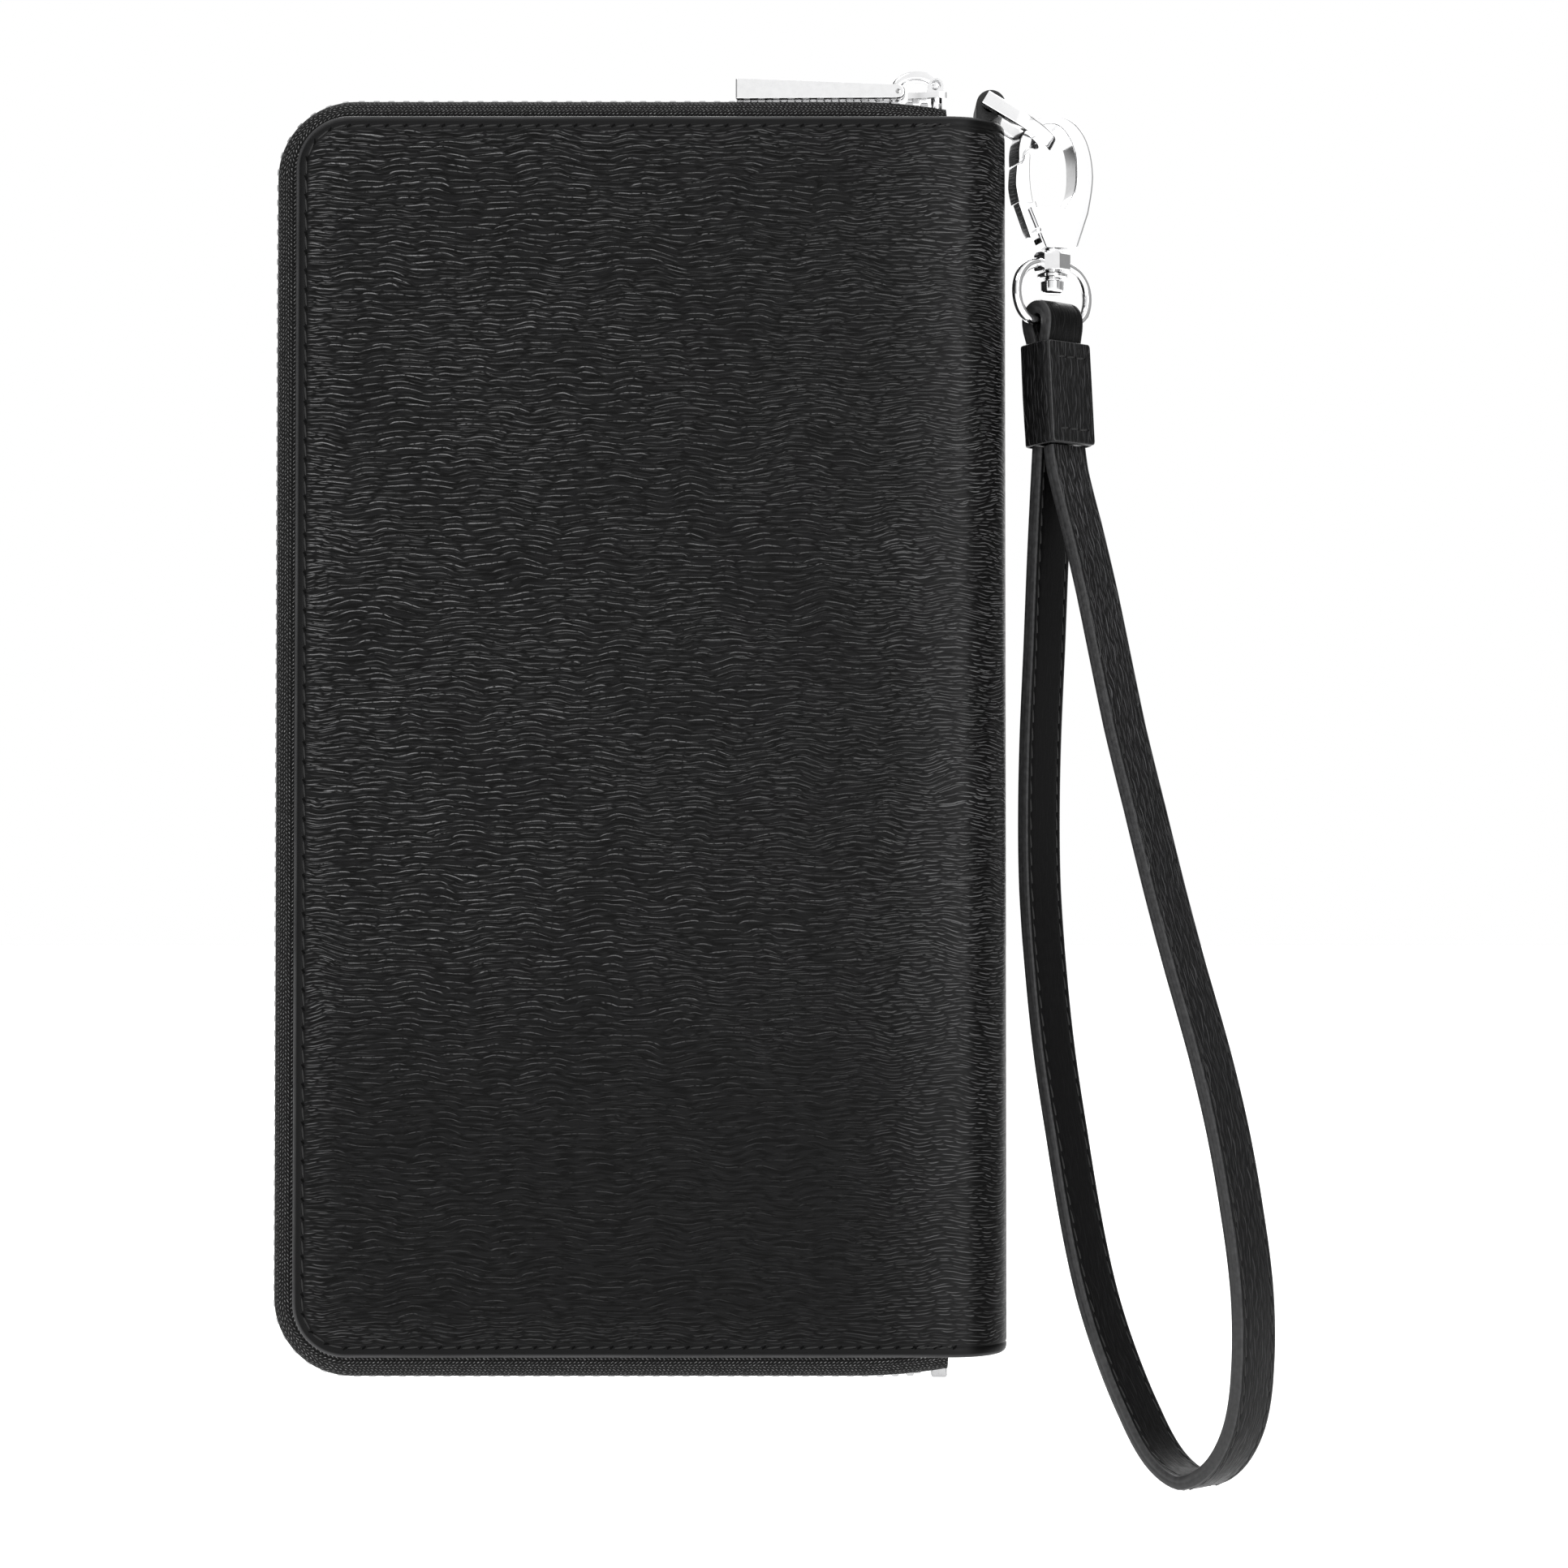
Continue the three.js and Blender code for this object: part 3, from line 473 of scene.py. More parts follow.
def piece(name, verts, faces, material, body, slot, replaces=(), place=None, parts=None, sharp=40):
    """A closed mesh from points in millimetres, riding on a body. material is a name or a list
    of them, with parts the index for each face; place holds flat coordinates for each point."""
    names = [material] if isinstance(material, str) else material
    mesh = bpy.data.meshes.new(name)
    mesh.from_pydata([tuple(Vector(v) * MM) for v in verts], [], [tuple(f) for f in faces])
    for each in names:
        mesh.materials.append(MATERIALS[each])
    if parts is not None:
        mesh.polygons.foreach_set("material_index", parts)
    if place is not None:
        attribute = mesh.attributes.new("place", "FLOAT_VECTOR", "POINT")
        attribute.data.foreach_set("vector", [part for point in place for part in point])
    tidy(mesh, sharp)
    item = add_object(name, mesh)
    if body:
        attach(item, body)
    if replaces:
        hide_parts(*replaces)
    return item


def tidy(mesh, sharp):
    bm = bmesh.new()
    bm.from_mesh(mesh)
    bmesh.ops.remove_doubles(bm, verts=bm.verts, dist=1e-7)
    bmesh.ops.dissolve_degenerate(bm, dist=1e-8, edges=bm.edges)
    settle(bm, mesh, sharp)


def settle(bm, mesh, sharp):
    """Writes bm to mesh with its faces pointing out, smooth except at edges over sharp degrees."""
    bmesh.ops.recalc_face_normals(bm, faces=bm.faces)
    bm.to_mesh(mesh)
    bm.free()
    mesh.polygons.foreach_set("use_smooth", [True] * len(mesh.polygons))
    mesh.set_sharp_from_angle(angle=math.radians(sharp))


class Heap:
    """Many small closed shapes gathered into one mesh."""

    def __init__(self):
        self.verts, self.faces, self.parts = [], [], []

    def add(self, verts, faces, part=0):
        start = len(self.verts)
        self.verts += list(verts)
        self.faces += [[start + i for i in face] for face in faces]
        self.parts += [part] * len(faces)


def ring_faces(rings, n, closed=False):
    """Quads between rings of n points; closed joins the last ring to the first."""
    faces = []
    for i in range(rings if closed else rings - 1):
        k = (i + 1) % rings
        for j in range(n):
            j2 = (j + 1) % n
            faces.append((i * n + j, i * n + j2, k * n + j2, k * n + j))
    return faces


def end_faces(rings, n):
    """The two faces that close a stack of rings."""
    return [tuple(range(n - 1, -1, -1)), tuple(range((rings - 1) * n, rings * n))]


def sheet_faces(rows, n, start=0):
    """Quads of an open grid whose rows hold n points each."""
    corners = [start + i * n + j for i in range(rows - 1) for j in range(n - 1)]
    return [(a, a + 1, a + 1 + n, a + n) for a in corners]


def sweep(section, frames):
    """Points and faces of a closed section of (a, b) carried along frames (origin, A, B)."""
    n, m = len(section), len(frames)
    verts = [o + a * A + b * B for o, A, B in frames for a, b in section]
    return verts, ring_faces(m, n) + end_faces(m, n)


def catmull(points, steps):
    """A centripetal curve through points, with steps pieces between each pair."""
    points = [Vector(p) for p in points]
    ends = [2 * points[0] - points[1], *points, 2 * points[-1] - points[-2]]
    made = []
    for i in range(1, len(ends) - 2):
        p = ends[i - 1:i + 3]
        t = [0.0]
        for a, b in zip(p, p[1:]):
            t.append(t[-1] + max((b - a).length, 1e-6) ** 0.5)
        for k in range(steps):
            at = t[1] + (t[2] - t[1]) * k / steps
            layer = p
            for depth in (1, 2, 3):
                layer = [
                    (layer[j] * (t[j + depth] - at) + layer[j + 1] * (at - t[j]))
                    / (t[j + depth] - t[j])
                    for j in range(len(layer) - 1)
                ]
            made.append(layer[0])
    return [*made, points[-1]]


def tangents(points):
    last = len(points) - 1
    return [(points[min(i + 1, last)] - points[max(i - 1, 0)]).normalized() for i in range(last + 1)]


def lengths(points):
    total, made = 0.0, [0.0]
    for a, b in zip(points, points[1:]):
        total += (b - a).length
        made.append(total)
    return made


def walk(distance, goals):
    """Which piece of a line each goal falls on, and how far along that piece."""
    at = 0
    for goal in goals:
        while at + 2 < len(distance) and distance[at + 1] < goal:
            at += 1
        yield at, (goal - distance[at]) / (distance[at + 1] - distance[at])


def arc_points(x, z, radius, start, end, steps):
    """Points round (x, z), from start to end degrees."""
    angles = [math.radians(start + (end - start) * k / steps) for k in range(steps + 1)]
    return [(x + radius * math.cos(a), z + radius * math.sin(a)) for a in angles]


def rounded(half_a, half_b, radius, steps=3):
    """A rectangle with rounded corners, as (a, b) points."""
    a, b = half_a - radius, half_b - radius
    made = []
    for qa, qb, start in ((1, 1, 0), (-1, 1, 90), (-1, -1, 180), (1, -1, 270)):
        made += arc_points(qa * a, qb * b, radius, start, start + 90, steps)
    return made


def grain_of_rice(centre, along, across, up, length, width, height, sides=6):
    """A long rounded bead: one stitch of thread."""
    verts = [centre - along * length / 2]
    rings = (-0.42, -0.2, 0.2, 0.42)
    for at in rings:
        size = math.sqrt(max(1 - (2 * at) ** 4, 0.05))
        for k in range(sides):
            angle = 2 * math.pi * k / sides
            offset = across * math.cos(angle) * width / 2 + up * math.sin(angle) * height / 2
            verts.append(centre + along * at * length + offset * size)
    verts.append(centre + along * length / 2)
    faces = [(0, 1 + (k + 1) % sides, 1 + k) for k in range(sides)]
    faces += [tuple(1 + i for i in face) for face in ring_faces(len(rings), sides)]
    last = 1 + (len(rings) - 1) * sides
    faces += [(last + k, last + (k + 1) % sides, len(verts) - 1) for k in range(sides)]
    return verts, faces


def stitch_row(heap, points, tangent_list, ups, pitch, length=2.0, width=0.42, slant=0.0, hole_shade=0.0):
    """Stitches at even steps along a line on a surface; the last argument, when not zero, adds a slanted dark
    slit that long at each end: painted shade standing in for the stitch hole.
    """
    distance = lengths(points)
    count = max(1, round(distance[-1] / pitch))
    step = distance[-1] / count
    for at, share in walk(distance, [(k + 0.5) * step for k in range(count)]):
        centre = points[at].lerp(points[at + 1], share)
        along, up = tangent_list[at].copy(), ups[at]
        across = up.cross(along).normalized()
        turned = (along * math.cos(slant) + across * math.sin(slant)).normalized()
        side = up.cross(turned).normalized()
        heap.add(*grain_of_rice(centre, turned, side, up, length, width, width * 0.8))
        if hole_shade:
            slit = (along + across * 1.2).normalized()
            spot = centre + along * step / 2
            shape = grain_of_rice(spot, slit, up.cross(slit).normalized(), up, hole_shade, 0.34, 0.2)
            heap.add(*shape, part=1)


def finished(node, material, bevel, body, segments=2):
    """A CAD node's own shape with its edges rounded."""
    bm = bmesh.new()
    bm.from_mesh(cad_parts[node].data)
    bmesh.ops.remove_doubles(bm, verts=bm.verts, dist=2e-6)
    bmesh.ops.dissolve_limit(bm, angle_limit=math.radians(1), verts=bm.verts, edges=bm.edges)
    edges = [e for e in bm.edges if e.is_manifold and e.calc_face_angle(0) > math.radians(40)]
    bmesh.ops.bevel(bm, geom=edges, offset=bevel * MM, segments=segments, profile=0.5,
                    affect="EDGES", clamp_overlap=True)
    mesh = bpy.data.meshes.new(node + "_finished")
    bm.to_mesh(mesh)
    bm.free()
    mesh.materials.append(MATERIALS[material])
    tidy(mesh, 50)
    item = add_object(node + "_finished", mesh)
    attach(item, body)
    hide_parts(node)
    return even(item)


def prism(outline, depth, bevel, to_world, segments=3):
    """An outline of (x, z) points extruded to +-depth with its rims rounded; to_world places it."""
    bm = bmesh.new()
    front = [bm.verts.new((x, -depth, z)) for x, z in outline]
    back = [bm.verts.new((x, depth, z)) for x, z in outline]
    bm.faces.new(front)
    bm.faces.new(back[::-1])
    n = len(outline)
    for k in range(n):
        bm.faces.new((front[(k + 1) % n], front[k], back[k], back[(k + 1) % n]))
    bmesh.ops.recalc_face_normals(bm, faces=bm.faces)
    rims = [e for e in bm.edges if abs(e.verts[0].co.y - e.verts[1].co.y) < 1e-6]
    corners = [e for e in bm.edges if e not in rims and e.calc_face_angle(0) > math.radians(35)]
    bmesh.ops.bevel(bm, geom=rims + corners, offset=bevel, segments=segments, profile=0.5,
                    affect="EDGES", clamp_overlap=True)
    bm.verts.index_update()
    verts = [to_world @ v.co for v in bm.verts]
    faces = [[v.index for v in f.verts] for f in bm.faces]
    bm.free()
    return verts, faces


def lathe(profile, to_world, sides=32):
    """A profile of (radius, z) turned about z, from axis to axis or closed on itself."""
    verts, faces = [], []
    n = len(profile)
    closed = profile[0] == profile[-1]
    if closed:
        profile = profile[:-1]
        n -= 1
    for k in range(sides):
        angle = 2 * math.pi * k / sides
        for r, z in profile:
            verts.append(to_world @ Vector((r * math.cos(angle), r * math.sin(angle), z)))
    for k in range(sides):
        k2 = (k + 1) % sides
        for j in range(n if closed else n - 1):
            j2 = (j + 1) % n
            faces.append((k * n + j, k2 * n + j, k2 * n + j2, k * n + j2))
    return verts, faces


def union(name, shapes, material, body, slot, replaces, cutters=(), sharp=40):
    """Shapes joined into one solid, less the cutters."""
    def loose(index, shape):
        mesh = bpy.data.meshes.new(f"{name}_{index}")
        mesh.from_pydata([tuple(Vector(v)) for v in shape[0]], [], [tuple(f) for f in shape[1]])
        bm = bmesh.new()
        bm.from_mesh(mesh)
        bmesh.ops.remove_doubles(bm, verts=bm.verts, dist=1e-5)
        bmesh.ops.recalc_face_normals(bm, faces=bm.faces)
        bm.to_mesh(mesh)
        bm.free()
        return add_object(mesh.name, mesh)
    items = [loose(i, shape) for i, shape in enumerate([*shapes, *cutters])]
    base = items[0]
    for i, other in enumerate(items[1:], 1):
        step = base.modifiers.new("step", "BOOLEAN")
        step.operation = "UNION" if i < len(shapes) else "DIFFERENCE"
        step.solver = "EXACT"
        step.object = other
    bpy.context.view_layer.update()
    evaluated = base.evaluated_get(bpy.context.evaluated_depsgraph_get())
    mesh = bpy.data.meshes.new_from_object(evaluated)
    verts = [v.co.copy() for v in mesh.vertices]
    faces = [tuple(p.vertices) for p in mesh.polygons]
    for item in items:
        bpy.data.objects.remove(item)
    return even(piece(name, verts, faces, material, body, slot, replaces, sharp=sharp))


def even(item):
    """Keeps flat faces flat beside their rounded edges."""
    normals = item.modifiers.new("normals", "WEIGHTED_NORMAL")
    normals.keep_sharp = True
    normals.weight = 90
    return item


# ---------------------------------------------------------------- wrist strap
# Points in the strap's own plane: forward (n) and up (z), in metres, from keeper to keeper.
STRAP_ROUTE = [
    (0.00254, 0.0435), (0.0032, 0.04), (0.0059, 0.032), (0.0094, 0.021), (0.015, 0.001),
    (0.019, -0.011), (0.023, -0.023), (0.0272, -0.0346), (0.0316, -0.046), (0.0353, -0.0575),
    (0.038, -0.069), (0.0398, -0.08), (0.0398, -0.091), (0.0382, -0.099), (0.0342, -0.105),
    (0.0284, -0.1078), (0.0226, -0.1053), (0.0178, -0.0995), (0.0132, -0.092), (0.009, -0.083),
    (0.0056, -0.072), (0.0028, -0.06), (0.0002, -0.048), (-0.0016, -0.036), (-0.0029, -0.023),
    (-0.0031, -0.011), (-0.0027, 0.001), (-0.0019, 0.013), (-0.0012, 0.025), (-0.0005, 0.035),
    (0.00014, 0.0435),
]


def in_strap_plane(n, z):
    return Vector((HOOK_X, MID_Y, 0)) + FORWARD * n + Vector((0, 0, z))


def in_end(n, z):
    """A point of the strap's doubled end, drawn upright and leaned about the eye's bar."""
    up = z - EYE_BAR
    leaned = n * math.cos(STRAP_LEAN) - up * math.sin(STRAP_LEAN)
    return in_strap_plane(leaned, EYE_BAR + n * math.sin(STRAP_LEAN) + up * math.cos(STRAP_LEAN))


END_FORWARD = in_end(1, 0) - in_end(0, 0)


def strap_section():
    """(across, outward) points, material index: 0 outside, 1 painted edge, 2 inside."""
    w, t = STRAP_WIDTH / 2, STRAP / 2
    half = [(2, t), (STITCH_LINE - 0.15, t - 0.02), (STITCH_LINE, t - 0.09),
            (STITCH_LINE + 0.15, t - 0.02), (w - 0.75, t), (w - 0.42, t - 0.02)]
    outside = [(-a, b) for a, b in reversed(half)] + [(0, t + 0.05)] + half
    right = [(w - 0.15, t - 0.16), (w - 0.02, t - 0.5), (w, 0.15), (w - 0.05, 0), (w, -0.15),
             (w - 0.02, -t + 0.5), (w - 0.15, -t + 0.16)]
    inside = [(a, -b) for a, b in reversed(outside)]
    left = [(-a, b) for a, b in reversed(right)]
    section = outside + right + inside + left
    kinds = [0] * (len(outside) - 1) + [1] * (len(right) + 1) + [2] * (len(inside) - 1)
    kinds += [1] * (len(left) + 1)
    return section, kinds


def band(name, points, body, slot, replaces, creases):
    """The strap's section carried along points; creases gives how creased it is at a distance."""
    section, kinds = strap_section()
    ways = tangents(points)
    frames = [(p, ACROSS, t.cross(ACROSS).normalized()) for p, t in zip(points, ways)]
    verts, faces = sweep(section, frames)
    parts = kinds * (len(frames) - 1) + [1, 1]
    distance = lengths(points)
    place = [(s, a, creases(s, b)) for s in distance for a, b in section]
    order = ["strap", "paint", "strap_inside"]
    return piece(name, verts, faces, order, body, slot, replaces, place, parts)


def strap_stitches(name, points, body):
    heap = Heap()
    ways = tangents(points)
    for outward in (1, -1):
        for across in (-STITCH_LINE, STITCH_LINE):
            ups = [t.cross(ACROSS).normalized() * outward for t in ways]
            line = [p + ACROSS * across + up * (STRAP / 2 - 0.08) for p, up in zip(points, ups)]
            stitch_row(heap, line, tangents(line), ups, 2.7, 2.15, 0.36, 0.1)
    return piece(name, heap.verts, heap.faces, "thread", body, "strap_leather")


def wrist_strap():
    route = [in_strap_plane(n / MM, z / MM) for n, z in STRAP_ROUTE]
    points = catmull(route, 6)
    total = lengths(points)[-1]

    def creases(s, b):
        near_keeper = max(0.0, 1 - s / 130)
        at_bend = math.exp(-((s - 170) / 35) ** 2)
        return (0.25 + 0.75 * near_keeper) if b > 0 else 0.15 + 0.5 * at_bend
    strap = band("wrist_strap_leather", points, "strap", "strap_leather", ["wrist_strap"], creases)
    stitches = strap_stitches("wrist_strap_stitches", points[1:-1], "strap")
    return total


# ---------------------------------------------------------------- strap fold and keeper


def strap_fold():
    """The strap's doubled end: up inside the keeper, round the eye's bar and down again."""
    radius = 1.0 + STRAP / 2
    half = (STRAP + CLEARANCE) / 2
    low = KEEPER_LOW + CLEARANCE
    rise = [(half, low), (half, 50), (half, 57.5), (half + 0.2, 59.6), (radius - 0.15, 61.4)]
    over = arc_points(0, EYE_BAR, radius, 0, 180, 15)
    fall = [(-n, z) for n, z in reversed(rise)]
    line = [Vector((n, z, 0)) for n, z in [*rise, *over, *fall]]
    points = [in_end(p.x, p.y) for p in catmull(line, 2)]
    if tangents(points)[0].cross(ACROSS).dot(FORWARD) > 0:
        points = points[::-1]
    band("strap_fold_leather", points, "strap", "strap_leather", ["strap_fold"], lambda s, b: 0.7)


def strap_keeper():
    low, high = KEEPER_LOW, KEEPER_HIGH - CLEARANCE
    wall = 0.65
    half_x = STRAP_WIDTH / 2 + CLEARANCE
    half_y = STRAP + CLEARANCE / 2 + CLEARANCE
    levels = [(low, 0.22), (low + 0.12, 0.06), (low + 0.4, 0.0), (low + 1.3, 0.0), (low + 4, -0.05),
              ((low + high) / 2, -0.08), (high - 4, -0.05), (high - 1.3, 0.0), (high - 0.4, 0.0),
              (high - 0.12, 0.06), (high, 0.22)]
    verts, place = [], []
    rings = [(z, wall - inset) for z, inset in levels]
    rings += [(high, 0.22), (high - 0.3, 0.0), (low + 0.3, 0.0), (low, 0.22)]
    steps = 5
    for z, out in rings:
        loop = rounded(half_x + out, half_y + out, 0.7 + max(out, 0), steps)
        run = 0.0
        for k, (a, b) in enumerate(loop):
            verts.append(in_end(-b, z) + ACROSS * a)
            if k:
                run += math.dist(loop[k - 1], (a, b))
            place.append((z, run, 0.4))
    n = 4 * (steps + 1)
    faces = ring_faces(len(rings), n, closed=True)
    cut_edges = (0, 9, 10, 14)
    parts = [int(face // n in cut_edges) for face in range(len(faces))]
    piece("strap_keeper_leather", verts, faces, ["strap", "paint"], "strap", "strap_leather",
          ["strap_keeper"], place, parts)
    keeper_plate(half_x, half_y + wall, low, high)
    heap = Heap()
    for side in (1, -1):
        face = half_y + wall + (0.2 if side > 0 else -0.05)
        for z in (low + 2.2, high - 2.4):
            line = [in_end(side * face, z) + ACROSS * a for a in (-3, -1.5, 0, 1.5, 3)]
            ups = [END_FORWARD * side] * len(line)
            stitch_row(heap, line, tangents(line), ups, 1.9, 1.5, 0.4, 0.12, 0.7)
    piece("strap_keeper_stitches", heap.verts, heap.faces, ["thread", "hole_shade"], "strap",
          "strap_leather", parts=heap.parts)


def keeper_plate(half_x, face, low, high):
    """The keeper's overlapping end, sewn down across its front."""
    outline = rounded(half_x + 0.35, (high - low) / 2 - 0.05, 0.5, 3)
    verts, place = [], []
    rings = ((-0.3, 0.0), (0.12, 0.0), (0.24, 0.1), (0.3, 0.3), (0.27, 0.6))
    for out, inset in rings:
        for a, b in outline:
            a, b = a * (1 - inset / 4.3), b * (1 - inset / 7.9)
            verts.append(in_end(face + out, (low + high) / 2 + b) + ACROSS * a)
            place.append((b, a, 0.45))
    n = len(outline)
    faces = ring_faces(len(rings), n) + end_faces(len(rings), n)
    parts = [1] * (2 * n) + [0] * (2 * n) + [1, 0]
    piece("strap_keeper_plate", verts, faces, ["strap", "paint"], "strap", "strap_leather",
          (), place, parts)


# ---------------------------------------------------------------- covers and spine

# Distance in from the cover's edge, and depth under its face: the turned edge from the middle
# of the outer face to the middle of the inner one.
TURNED_EDGE = [
    (8, 0), (5, 0), (3.2, 0), (2.3, 0), (1.9, 0.02), (1.72, 0.1), (1.6, 0.17), (1.48, 0.1),
    (1.3, 0.02), (0.95, 0.03), (0.6, 0.12), (0.32, 0.3), (0.12, 0.56), (0.02, 0.9), (0, 1.4),
    (0, 2.4), (0.04, 3), (0.2, 3.42), (0.5, 3.6), (0.85, 3.56), (1.1, 3.3), (1.2, 2.8), (1.2, 1.2),
    (3, 1.2), (8, 1.2),
]
HALF_SPINE = SPINE_RADIUS * math.pi / 2 + (THICK / 2 - SPINE_RADIUS)


def unroll(u, z, depth, side):
    """A point of the leather laid flat, back on the wallet; side is 1 for the back, -1 the front."""
    over = u - HINGE_X
    arc = SPINE_RADIUS * math.pi / 2
    straight = THICK / 2 - SPINE_RADIUS
    if over <= 0:
        x, out = u, THICK / 2 - depth
    elif over < arc:
        angle = over / SPINE_RADIUS
        x = HINGE_X + (SPINE_RADIUS - depth) * math.sin(angle)
        out = straight + (SPINE_RADIUS - depth) * math.cos(angle)
    else:
        x, out = RIGHT - depth, straight - (over - arc)
    return Vector((x, MID_Y + side * out, z))


def skin(name, side, replaces):
    """One cover's leather with its half of the spine, turned in along its three edges."""
    end = HINGE_X + HALF_SPINE
    edge = LEFT + CORNER
    flat_steps, spine_steps, tall_steps, corner_steps = 30, 14, 56, 16
    us = [end + (HINGE_X - end) * k / spine_steps for k in range(spine_steps)]
    us += [HINGE_X + (edge - HINGE_X) * k / flat_steps for k in range(flat_steps + 1)]
    reach = TOP - CORNER
    zs = [reach - 2 * reach * k / tall_steps for k in range(tall_steps + 1)]
    stations = [(u, reach, 0, 1) for u in us]
    for k in range(1, corner_steps):
        angle = math.pi / 2 * (1 + k / corner_steps)
        stations.append((edge, reach, math.cos(angle), math.sin(angle)))
    stations += [(edge, z, -1, 0) for z in zs]
    for k in range(1, corner_steps):
        angle = math.pi * (1 + k / corner_steps / 2)
        stations.append((edge, -reach, math.cos(angle), math.sin(angle)))
    stations += [(u, -reach, 0, -1) for u in reversed(us)]

    verts, place = [], []

    def put(u, z, depth, margin):
        sink = 0.0
        if depth == 0 and u < HINGE_X:
            sink = 0.012 * abs(math.sin(1.7 + u / 17) * math.sin(z / 31))
            sink *= min(1, max(0, margin - 3) / 5)
        verts.append(unroll(u, z, depth + sink, side))
        place.append((u + 200 * (side + 1), z, margin))

    n = len(stations)
    for distance, depth in TURNED_EDGE:
        for cu, cz, nu, nz in stations:
            out = CORNER - distance
            put(cu + nu * out, cz + nz * out, depth, distance if depth < 1 else 0)
    faces = sheet_faces(len(TURNED_EDGE), n)
    for depth in (TURNED_EDGE[0][1], TURNED_EDGE[-1][1]):
        start = len(verts)
        for u in us:
            for z in zs:
                put(u, z, depth, CORNER if depth == 0 else 0)
        faces += sheet_faces(len(us), len(zs), start)
    item = piece(name, verts, faces, "cover", None, "cover_leather", replaces, place, sharp=60)
    close_end(item)
    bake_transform(item)
    return item


def close_end(item):
    """Fills the open cut along the spine's middle."""
    bm = bmesh.new()
    bm.from_mesh(item.data)
    open_edges = [e for e in bm.edges if e.is_boundary]
    bmesh.ops.triangle_fill(bm, edges=open_edges, use_beauty=True)
    settle(bm, item.data, 60)


def cover_stitches(name, side, body):
    """The row along the turned edge, doubled back beside the spine."""
    inset, right = 1.6, HINGE_X + 0.4
    line = [(p.x, p.z) for p, _ in edge_line(-inset, right, 4.4)]
    y = MID_Y + side * (THICK / 2 - 0.1)
    heap = Heap()
    up = Vector((0, side, 0))

    def row(points, pitch, slant, shift=0.0):
        world = [Vector((x, y, z + shift)) for x, z in points]
        stitch_row(heap, world, tangents(world), [up] * len(world), pitch, pitch * 0.72, 0.34,
                   slant, 1.0)
    row(line, 2.8, 0.1)
    for z in (TOP - inset, -TOP + inset):
        row([(right, z), (right - 6, z)], 1.9, 0.3, 0.12)
    piece(name, heap.verts, heap.faces, ["thread", "hole_shade"], body, "cover_leather", parts=heap.parts)


# ---------------------------------------------------------------- zip


def edge_line(out, right, straight=3.0):
    """Points round the covers' edge, out beyond it, with the outward direction at each."""
    edge, reach = LEFT + CORNER, TOP - CORNER
    radius = CORNER + out
    made = []

    def run(x0, z0, x1, z1, nx, nz, skip):
        steps = max(1, round(math.hypot(x1 - x0, z1 - z0) / straight))
        for k in range(skip, steps + 1):
            share = k / steps
            made.append((Vector((x0 + (x1 - x0) * share, MID_Y, z0 + (z1 - z0) * share)),
                         Vector((nx, 0, nz))))

    def corner(z, start):
        for k in range(1, 17):
            angle = start + math.pi / 2 * k / 16
            way = Vector((math.cos(angle), 0, math.sin(angle)))
            made.append((Vector((edge, MID_Y, z)) + way * radius, way))
    run(right, TOP + out, edge, TOP + out, 0, 1, 0)
    corner(reach, math.pi / 2)
    run(LEFT - out, reach, LEFT - out, -reach, -1, 0, 1)
    corner(-reach, math.pi)
    run(edge, -TOP - out, right, -TOP - out, 0, -1, 1)
    return made


def tape_drop(x):
    """How far the tape sinks between the covers as it nears the spine."""
    share = min(1, max(0, (x - 32) / 14))
    return 1.2 * share * share


def zip_tape_piece(name, side, body, replaces):
    """(out, away from the zip's middle) section: knit tape from the corded edge to the cover."""
    high = ZIP_PROUD - 0.7
    flange = THICK / 2 - 4.1
    outer = [(high + 0.4, 2.4), (high + 0.55, 2.8), (high + 0.3, 3.4), (high + 0.02, 3.9),
             (high - 0.35, 4.45), (high - 0.95, 5.05), (1.55, 5.75), (1.0, 6.15), (0.4, flange - 0.02),
             (-0.5, flange), (-3.4, flange)]
    inner = [(-3.4, flange - 0.5), (-0.4, flange - 0.5), (0.3, flange - 0.55), (0.9, 5.55),
             (1.6, 5.0), (high - 0.9, 4.3), (high - 0.55, 3.8), (high - 0.4, 3.0), (high - 0.25, 2.4)]
    section = outer + inner
    stations = edge_line(0, HINGE_X - CLEARANCE, 2.5)
    verts, place = [], []
    run = [0.0]
    for (a, _), (b, _) in zip(stations, stations[1:]):
        run.append(run[-1] + (b - a).length)
    width = [0.0]
    for a, b in zip(section, section[1:]):
        width.append(width[-1] + math.dist(a, b))
    for (point, way), s in zip(stations, run):
        drop = tape_drop(point.x)
        for (out, away), w in zip(section, width):
            moved = out - drop if out > 0 else out
            verts.append(point + way * moved + Vector((0, side * away, 0)))
            place.append((s, w, 0))
    _, faces = sweep(section, [(Vector(), Vector(), Vector())] * len(stations))
    return piece(name, verts, faces, "tape", body, "zip_tape", replaces, place, sharp=60)


# One tooth seen from outside the zip: (along the row, away from the middle), for half of it.
TOOTH = [(0.34, -0.85), (0.56, -0.55), (0.6, -0.1), (0.46, 0.45), (0.4, 1.0), (0.55, 1.5),
         (0.6, 2.2), (0.5, 2.9)]
TOOTH_PITCH = 2.23


